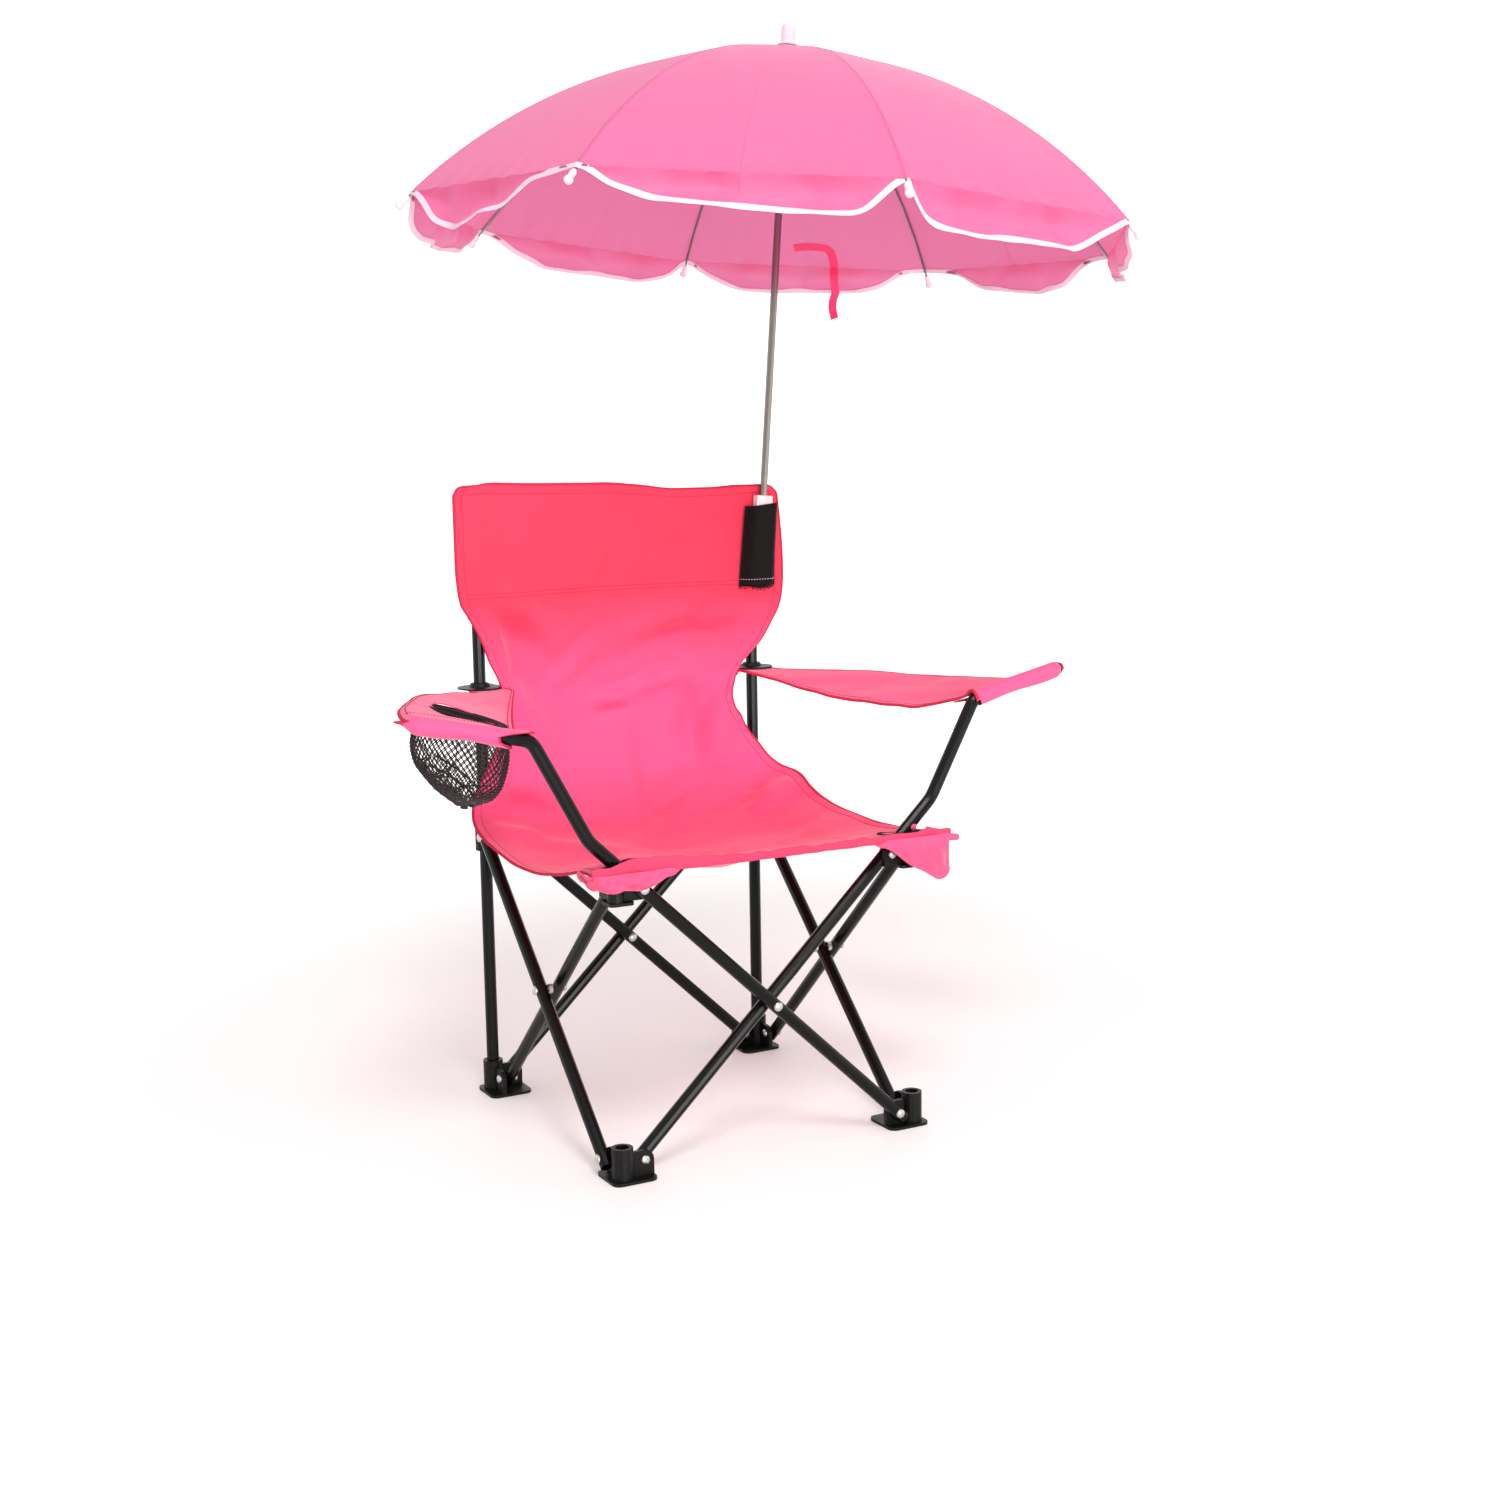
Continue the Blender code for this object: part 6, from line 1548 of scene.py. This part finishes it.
    def post_way(self, side):
        return self.round_way(np.array([side * CORNER, CORNER, COLLAR_HEIGHT]), np.array([0, 0, 1.0]), 0.0071)

    def tube_way(self, side):
        """Where the bent tube goes into the hem."""
        _, knee, shoulder, _ = arm_tube(side)
        rise = (shoulder - knee).normalized()
        bar = Vector(arm_line(side)[2])
        turn, end = shoulder - rise * ARM_TURN, shoulder + bar * ARM_TURN
        middle = turn * 0.25 + shoulder * 0.5 + end * 0.25
        path = [shoulder - rise * 0.045, turn, middle, end, end + bar * 0.012]
        pile = Pile()
        pile.tube(np.array([list(p) for p in path]), [0.0086, 0.0086, 0.0086, 0.0082, 0.0072], 28)
        return pile.make("way", [])

    def binding(self, centre, up, black):
        """The black tape round the cup opening."""
        turns = np.linspace(0, 2 * math.pi, 72, endpoint=False)
        side = unit(np.cross(up, np.array([0, 1.0, 0])))
        front = np.cross(up, side)
        out = side * np.cos(turns)[:, None] + front * np.sin(turns)[:, None]
        path = centre + out * (CUP_RADIUS - 0.0004)
        profile = [(-0.0008, 0.0), (-0.0004, 0.0014), (0.0012, 0.0019), (0.0046, 0.0019), (0.0052, 0.0012),
                   (0.0052, -0.0012), (0.0046, -0.0019), (0.0012, -0.0019), (-0.0004, -0.0014)]
        pile = Pile()
        pile.sweep(path, out, np.tile(up, (len(path), 1)), profile, 0, closed=True)
        return pile.make("cup_binding", [black])


class CHAIR_OT_net(bpy.types.Operator):
    """Knots the hanging net of the cup holder, with its drawn bottom and its loose cord."""

    bl_idname = "chair.net"
    bl_label = "Cup net"

    def execute(self, context):
        look = context.scene.frame_look
        cord = net_cord("braided nylon cord", look.net)
        centre, up = cup_place()
        columns = int(round(2 * math.pi * 0.042 / look.mesh))
        rows = 22

        def knot(column, row):
            return self.bag(centre, up, 2 * math.pi * (column + 0.5 * (row % 2)) / columns, row / rows)

        # Each cord steps half a mesh to one side from row to row
        paths = []
        for column in range(columns):
            paths.append([knot(column + row // 2, row) for row in range(rows + 1)])
            paths.append([knot(column - (row + 1) // 2, row) for row in range(rows + 1)])
        net = run_group(curves("net", paths), cord_group(), Cord=look.cord, Knot=look.cord * 2.1, Material=cord)
        pile = Pile()
        ring = np.linspace(0, 2 * math.pi, 60, endpoint=False)
        pile.tube(np.array([self.bag(centre, up, t, 0.0) for t in ring]), 0.0010, 6, closed=True)
        # The net's head is gathered to a solid edge, deeper at the rear
        heads = [0.04 + 0.22 * (0.5 - 0.5 * math.sin(t)) for t in ring]
        head = [
            [self.bag(centre, up, t, 0.01 + deep * share) for t, deep in zip(ring, heads)]
            for share in (0, 0.33, 0.67, 1)
        ]
        pile.shell(np.array(head), 0.0004, around=True)
        pile.tube(np.array([self.bag(centre, up, t, 1.0) for t in ring[::2]]), 0.0011, 6, closed=True)
        base = self.bag(centre, up, 0.0, 1.0) * 0.5 + self.bag(centre, up, math.pi, 1.0) * 0.5
        for number in range(22):
            turn, fall = 2.4 * number, 0.50 + 0.35 * math.sin(1.9 * number) ** 2
            bunched = [
                self.bag(centre, up, turn + 0.5 * math.sin(number + 5 * share), fall + (0.99 - fall) * share) * 0.93
                + base * 0.07
                for share in np.linspace(0, 1, 14)
            ]
            pile.tube(np.array(bunched), 0.0009, 5)
        turns = np.linspace(0, 4 * math.pi, 40)
        fall = -0.0005 - 0.0035 * turns / turns[-1]
        pile.tube(base + np.stack([0.0030 * np.cos(turns), 0.0030 * np.sin(turns), fall], -1), 0.0009, 6)
        # The loose loop of drawcord, from the rim
        loop = ((0, 0, 0), (0.0115, -0.004, -0.014), (0.0165, -0.005, -0.030), (0.0150, -0.004, -0.044),
                (0.004, -0.003, -0.054), (-0.012, -0.002, -0.057))
        loop = self.bag(centre, up, math.radians(20), 0.02) + np.array(loop)
        fine = np.linspace(0, len(loop) - 1, 40)
        smooth = np.stack([eased(list(enumerate(loop[:, i])), fine) for i in range(3)], -1)
        pile.tube(smooth, 0.0006, 5)
        trims = pile.make("trims", [cord])
        piece = join("cup_net_mesh", [net, trims])
        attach(piece, "cup_net")
        inner = Vector(arm_line(-1)[0]) + CHAIR_MIDDLE
        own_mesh(piece)
        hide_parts("cup_net")
        return {"FINISHED"}

    def bag(self, centre, up, turn, down):
        """A place on the net: round it, and down from the opening's rim to its drawn bottom."""
        side = unit(np.cross(up, np.array([0, 1.0, 0])))
        front = np.cross(up, side)
        radius = eased(NET_RADII, down)
        crumple = 1 + 0.05 * math.sin(3 * turn + 1.0) * down + 0.05 * math.sin(5 * turn + 6 * down) * down
        out = side * math.cos(turn) + front * math.sin(turn)
        drop = NET_DEPTH * (down**0.93) * (1 + 0.03 * math.sin(2 * turn + 0.6) * down)
        sway = np.array([0.022, -0.002, 0.0]) * down**2
        return centre + out * (radius * crumple) - up * drop + sway


class CHAIR_OT_pocket(bpy.types.Operator):
    """Sews the black webbing pocket that holds the umbrella's handle, with its white stitches."""

    bl_idname = "chair.umbrella_pocket"
    bl_label = "Umbrella pocket"

    def execute(self, context):
        webbing = black_webbing("polypropylene webbing", context.scene.frame_look.webbing)
        white = sewing_thread("white thread", linear("#E9E4E6"))
        plane = BACK_PLANE - CLOTH / 2 - GAP
        u = np.linspace(0, 1, 33)[None]
        v = np.concatenate([np.linspace(0, 0.9, 30), [0.93, 0.96, 0.985, 1.0]])[:, None]
        low, high = 0.5305, 0.6225
        left, right = 0.1426 + (0.1517 - 0.1426) * v, 0.1872 + (0.1862 - 0.1872) * v
        x, level = left + (right - left) * u, low + (high - low) * v
        # The webbing bulges over the umbrella's shaft
        shaft = SHAFT_FOOT.x + (level - SHAFT_FOOT.z) * math.tan(SHAFT_LEAN)
        bulge = np.clip(1.9 - abs(x - shaft) / 0.0118, 0, 1)
        bulge = bulge * bulge * (3 - 2 * bulge)
        deep = 0.0022 + (0.0152 - 0.0022) * bulge * np.clip(v * 30 + 0.75, 0.75, 1)
        z = level + 0.0012 * np.sin(u * 9) * (v < 0.02) - 0.0035 * (1 - u) * v
        grid = np.stack(np.broadcast_arrays(x, plane - deep, z), -1)
        pile = Pile()
        normals = pile.shell(grid, 0.0008)
        piece = pile.make("pocket_webbing", [webbing, white])
        raised = grid + normals * 0.0010
        rows = [raised[3, 1:-1], raised[3:, 1], raised[3:, -2]]
        sewn = stitches(context, "sewn", rows[:1], white, thickness=0.0008)
        dark = stitches(context, "sewn_sides", rows[1:], sewing_thread("black thread", linear("#222122")))
        fringe = Pile()
        for i, share in enumerate(np.linspace(0.02, 0.98, 34)):
            start = grid[0, int(share * 32)]
            bend = math.sin(i * 2.4) * 0.0012
            fall = -0.0030 - 0.0008 * math.sin(i * 5.1)
            steps = [[0.0, 0.0, 0.0], [bend * 0.4, -0.0004, -0.0015], [bend, -0.0008, fall]]
            fringe.tube(start + np.array(steps), 0.00035, 4)
        tail = fringe.make("fringe", [webbing])
        piece = join("pocket_webbing", [piece, sewn, dark, tail])
        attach(piece, "base")
        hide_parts("umbrella_pocket")
        return {"FINISHED"}


class CHAIR_OT_canopy(bpy.types.Operator):
    """Cuts the canopy into a strip along each rib, with its hanging hem, rib seams and binding tape."""

    bl_idname = "chair.canopy"
    bl_label = "Canopy"

    def execute(self, context):
        look = context.scene.umbrella_look
        cloth = canopy_cloth(look.canopy)
        tape = tape_cloth("binding tape", look.binding)
        along = umbrella_axes()[0]
        for number in range(RIB_COUNT):
            pile = Pile()
            near = np.array([0.0, 0.0022, 0.0028])
            fine = np.concatenate([near * 2.2, [0.012, 0.02, 0.03, 0.045], np.linspace(0.06, 0.5, 27)])
            shares = np.concatenate([-fine[:0:-1], fine])
            levels = np.concatenate([np.linspace(0.02, 0.98, 46), [0.99, 1.0], np.linspace(1.03, 2.0, 18)])
            grid = canopy_surface(number + shares[None], levels[:, None])
            normals = grid_normals(grid)
            if normals[10, 10] @ along < 0:
                grid, shares = grid[:, ::-1], -shares[::-1]
                normals = grid_normals(grid)
            half = np.full(grid.shape[:2], 0.00030)
            half[:, abs(shares) < 0.0055] += 0.00012  # the seam over the rib
            pile.shell(grid, half, 0, normals)
            self.add_tape(pile, grid, look.tape)
            piece = pile.make(f"canopy_strip_{number + 1}", [cloth, tape])
            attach(piece, f"rib_{number + 1}")
            anchor = Vector(on_umbrella(CROWN_HEIGHT, 0.0, 0.0)) + CHAIR_MIDDLE
            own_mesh(piece)
            if number == 0:
                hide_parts("canopy")
        return {"FINISHED"}

    def add_tape(self, pile, grid, width):
        """The tape folded over the cloth's lower edge."""
        upwards = grid[::-1]
        edge, run = upwards[0], arc_lengths(upwards, 0)
        rows = np.minimum((run < width).sum(0), len(grid) - 1)
        inward = unit(upwards[rows, np.arange(grid.shape[1])] - edge)
        tangent = unit(np.gradient(edge, axis=0))
        inward = unit(inward - tangent * (inward * tangent).sum(1, keepdims=True))
        normal = np.cross(tangent, inward)
        wall, lift, fold = 0.00035, 0.00055, 0.0008
        upper = [(width, wall), (width, wall + lift), (fold, wall + lift), (-fold, lift * 0.5)]
        profile = upper + [(across, -up) for across, up in upper[::-1]]
        pile.sweep(edge, inward, normal, profile, 1)


class CHAIR_OT_umbrella_trims(bpy.types.Operator):
    """Adds the rib tips and the tie strap."""

    bl_idname = "chair.umbrella_trims"
    bl_label = "Umbrella trims"

    def execute(self, context):
        look = context.scene.umbrella_look
        plastic = glossy_plastic("waxy polypropylene", look.plastic)
        for number in range(RIB_COUNT):
            turn = RIB_PHASE + number * GORE
            radius, height = rib_curve(1.0)
            before = rib_curve(0.97)
            end = on_umbrella(height, radius, turn)
            out = unit(end - on_umbrella(before[1], before[0], turn))
            pile = Pile()
            path = np.array([end + out * along for along, _ in TIP])
            pile.tube(path, [size for _, size in TIP], 20)
            piece = pile.make(f"rib_tip_{number + 1}", [plastic])
            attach(piece, f"rib_{number + 1}")
        self.strap(context)
        return {"FINISHED"}

    def strap(self, context):
        """The strap sewn inside a rear gore: it runs round it, turns down and hangs below the hem."""
        cloth = tape_cloth("strap cloth", context.scene.umbrella_look.strap)
        route = np.array(STRAP)
        fine = np.linspace(0, len(route) - 1, 64)
        share, level = (eased(list(enumerate(route[:, i])), fine) for i in range(2))
        path = canopy_surface(share, level)
        step = 0.004
        round_way = canopy_surface(share + step, level) - canopy_surface(share - step, level)
        down_way = canopy_surface(share, level + step) - canopy_surface(share, level - step)
        inward = unit(np.cross(round_way, down_way))
        middle = on_umbrella(CROWN_HEIGHT, 0.0, 0.0)
        inward = inward * np.sign((inward * (middle - path)).sum(1, keepdims=True))
        path = path + inward * 0.0013
        drop = np.linspace(0, 1, 13)[1:, None]
        sideways, outward = rib_sideways(5), -inward[-1]
        tail = path[-1] - umbrella_axes()[0] * 0.034 * drop
        tail = tail + sideways * 0.0035 * np.sin(3.4 * drop) + outward * 0.002 * drop
        path = np.concatenate([path, tail])
        facing = np.concatenate([inward, np.tile(inward[-1], (len(tail), 1))])
        run = unit(np.gradient(path, axis=0))
        across = unit(np.cross(run, facing))
        pile = Pile()
        half, thin = 0.0051, 0.0004
        profile = [(-half, -thin), (half, -thin), (half, thin), (-half, thin)]
        pile.sweep(path, across, unit(np.cross(across, run)), profile)
        piece = pile.make("tie_strap_cloth", [cloth])
        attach(piece, "rib_6")
        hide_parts("tie_strap")
        anchor = Vector(on_umbrella(CROWN_HEIGHT, 0.0, 0.0)) + CHAIR_MIDDLE
        tuple(sideways)
        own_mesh(piece)


class CHAIR_OT_rivets(bpy.types.Operator):
    """Sets the bright rivet heads on the tubes, one piece for each tube."""

    bl_idname = "chair.rivets"
    bl_label = "Rivet heads"

    def execute(self, context):
        metal = zinc("zinc-plated steel", context.scene.frame_look.zinc)
        tubes = {
            "arm_tube_left": ("x", -1, -1, -1),
            "arm_tube_right": ("x", -1, 1, 1),
            "rear_tube_inner": ("x", 1, -1, -1),
            "rear_tube_outer": ("x", 1, 1, 1),
            "left_tube_outer": ("y", -1, -1, 1),
            "left_tube_inner": ("y", -1, 1, -1),
            "right_tube_inner": ("y", 1, -1, 1),
            "right_tube_outer": ("y", 1, 1, -1),
        }
        centres = {"arm_tube_left", "rear_tube_inner", "left_tube_inner", "right_tube_outer"}
        for body, (run, side, layer, climb) in tubes.items():
            low, high = tube_line(run, side, layer, climb)
            axis = Vector((0, layer, 0)) if run == "x" else Vector((layer, 0, 0))
            # Heads in pairs: how far each stands off the tube's middle, outside and inside
            heads = [(end, TUBE_RADIUS - 0.0003, TUBE_LAYER + SHOULDER + GAP) for end in (low, high)]
            if body in centres:
                heads.append(((low + high) / 2, TUBE_RADIUS + 0.0002, 2 * TUBE_LAYER + TUBE_RADIUS + GAP))
            places = [(place + axis * outer, place - axis * inner) for place, outer, inner in heads]
            mesh = bpy.data.meshes.new("rivets_" + body)
            mesh.from_pydata([place + CHAIR_MIDDLE for pair in places for place in pair], [], [])
            stand = mesh.attributes.new("stand", "FLOAT_VECTOR", "POINT")
            stands = np.array([axis, -axis] * len(heads), np.float32)
            stand.data.foreach_set("vector", stands.ravel())
            obj = placed("rivets_" + body, mesh)
            obj = run_group(obj, rivet_group(), Radius=RIVET_HEAD + 0.0002, Rise=RIVET_RISE + 0.0005, Material=metal)
            obj.data.shade_smooth()
            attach(obj, body)
        return {"FINISHED"}


class CHAIR_PT_panel(bpy.types.Panel):
    """Lists the steps and the sizes and colours that they use."""

    bl_label = "Folding Chair"
    bl_idname = "CHAIR_PT_panel"
    bl_space_type = "VIEW_3D"
    bl_region_type = "UI"
    bl_category = "Chair"

    def draw(self, context):
        for step in STEPS:
            self.layout.operator(step.bl_idname)
        for name, group in GROUPS.items():
            box = self.layout.box()
            for field in group.__annotations__:
                box.prop(getattr(context.scene, name), field)


STEPS = (
    CHAIR_OT_stage,
    CHAIR_OT_finishes,
    CHAIR_OT_rivets,
    CHAIR_OT_body_cloth,
    CHAIR_OT_hubs_cloth,
    CHAIR_OT_arms,
    CHAIR_OT_net,
    CHAIR_OT_pocket,
    CHAIR_OT_canopy,
    CHAIR_OT_umbrella_trims,
)
GROUPS = {
    "chair_cloth": ChairCloth,
    "umbrella_look": UmbrellaLook,
    "frame_look": FrameLook,
    "stage_look": StageLook,
}


def register():
    for made in (*GROUPS.values(), *STEPS, CHAIR_PT_panel):
        bpy.utils.register_class(made)
    for name, group in GROUPS.items():
        setattr(bpy.types.Scene, name, PointerProperty(type=group))


def unregister():
    for name in GROUPS:
        delattr(bpy.types.Scene, name)
    for made in (CHAIR_PT_panel, *reversed(STEPS), *reversed(GROUPS.values())):
        bpy.utils.unregister_class(made)


def main():
    register()
    for step in STEPS:
        group, name = step.bl_idname.split(".")
        getattr(getattr(bpy.ops, group), name)()


if __name__ == "__main__":
    main()
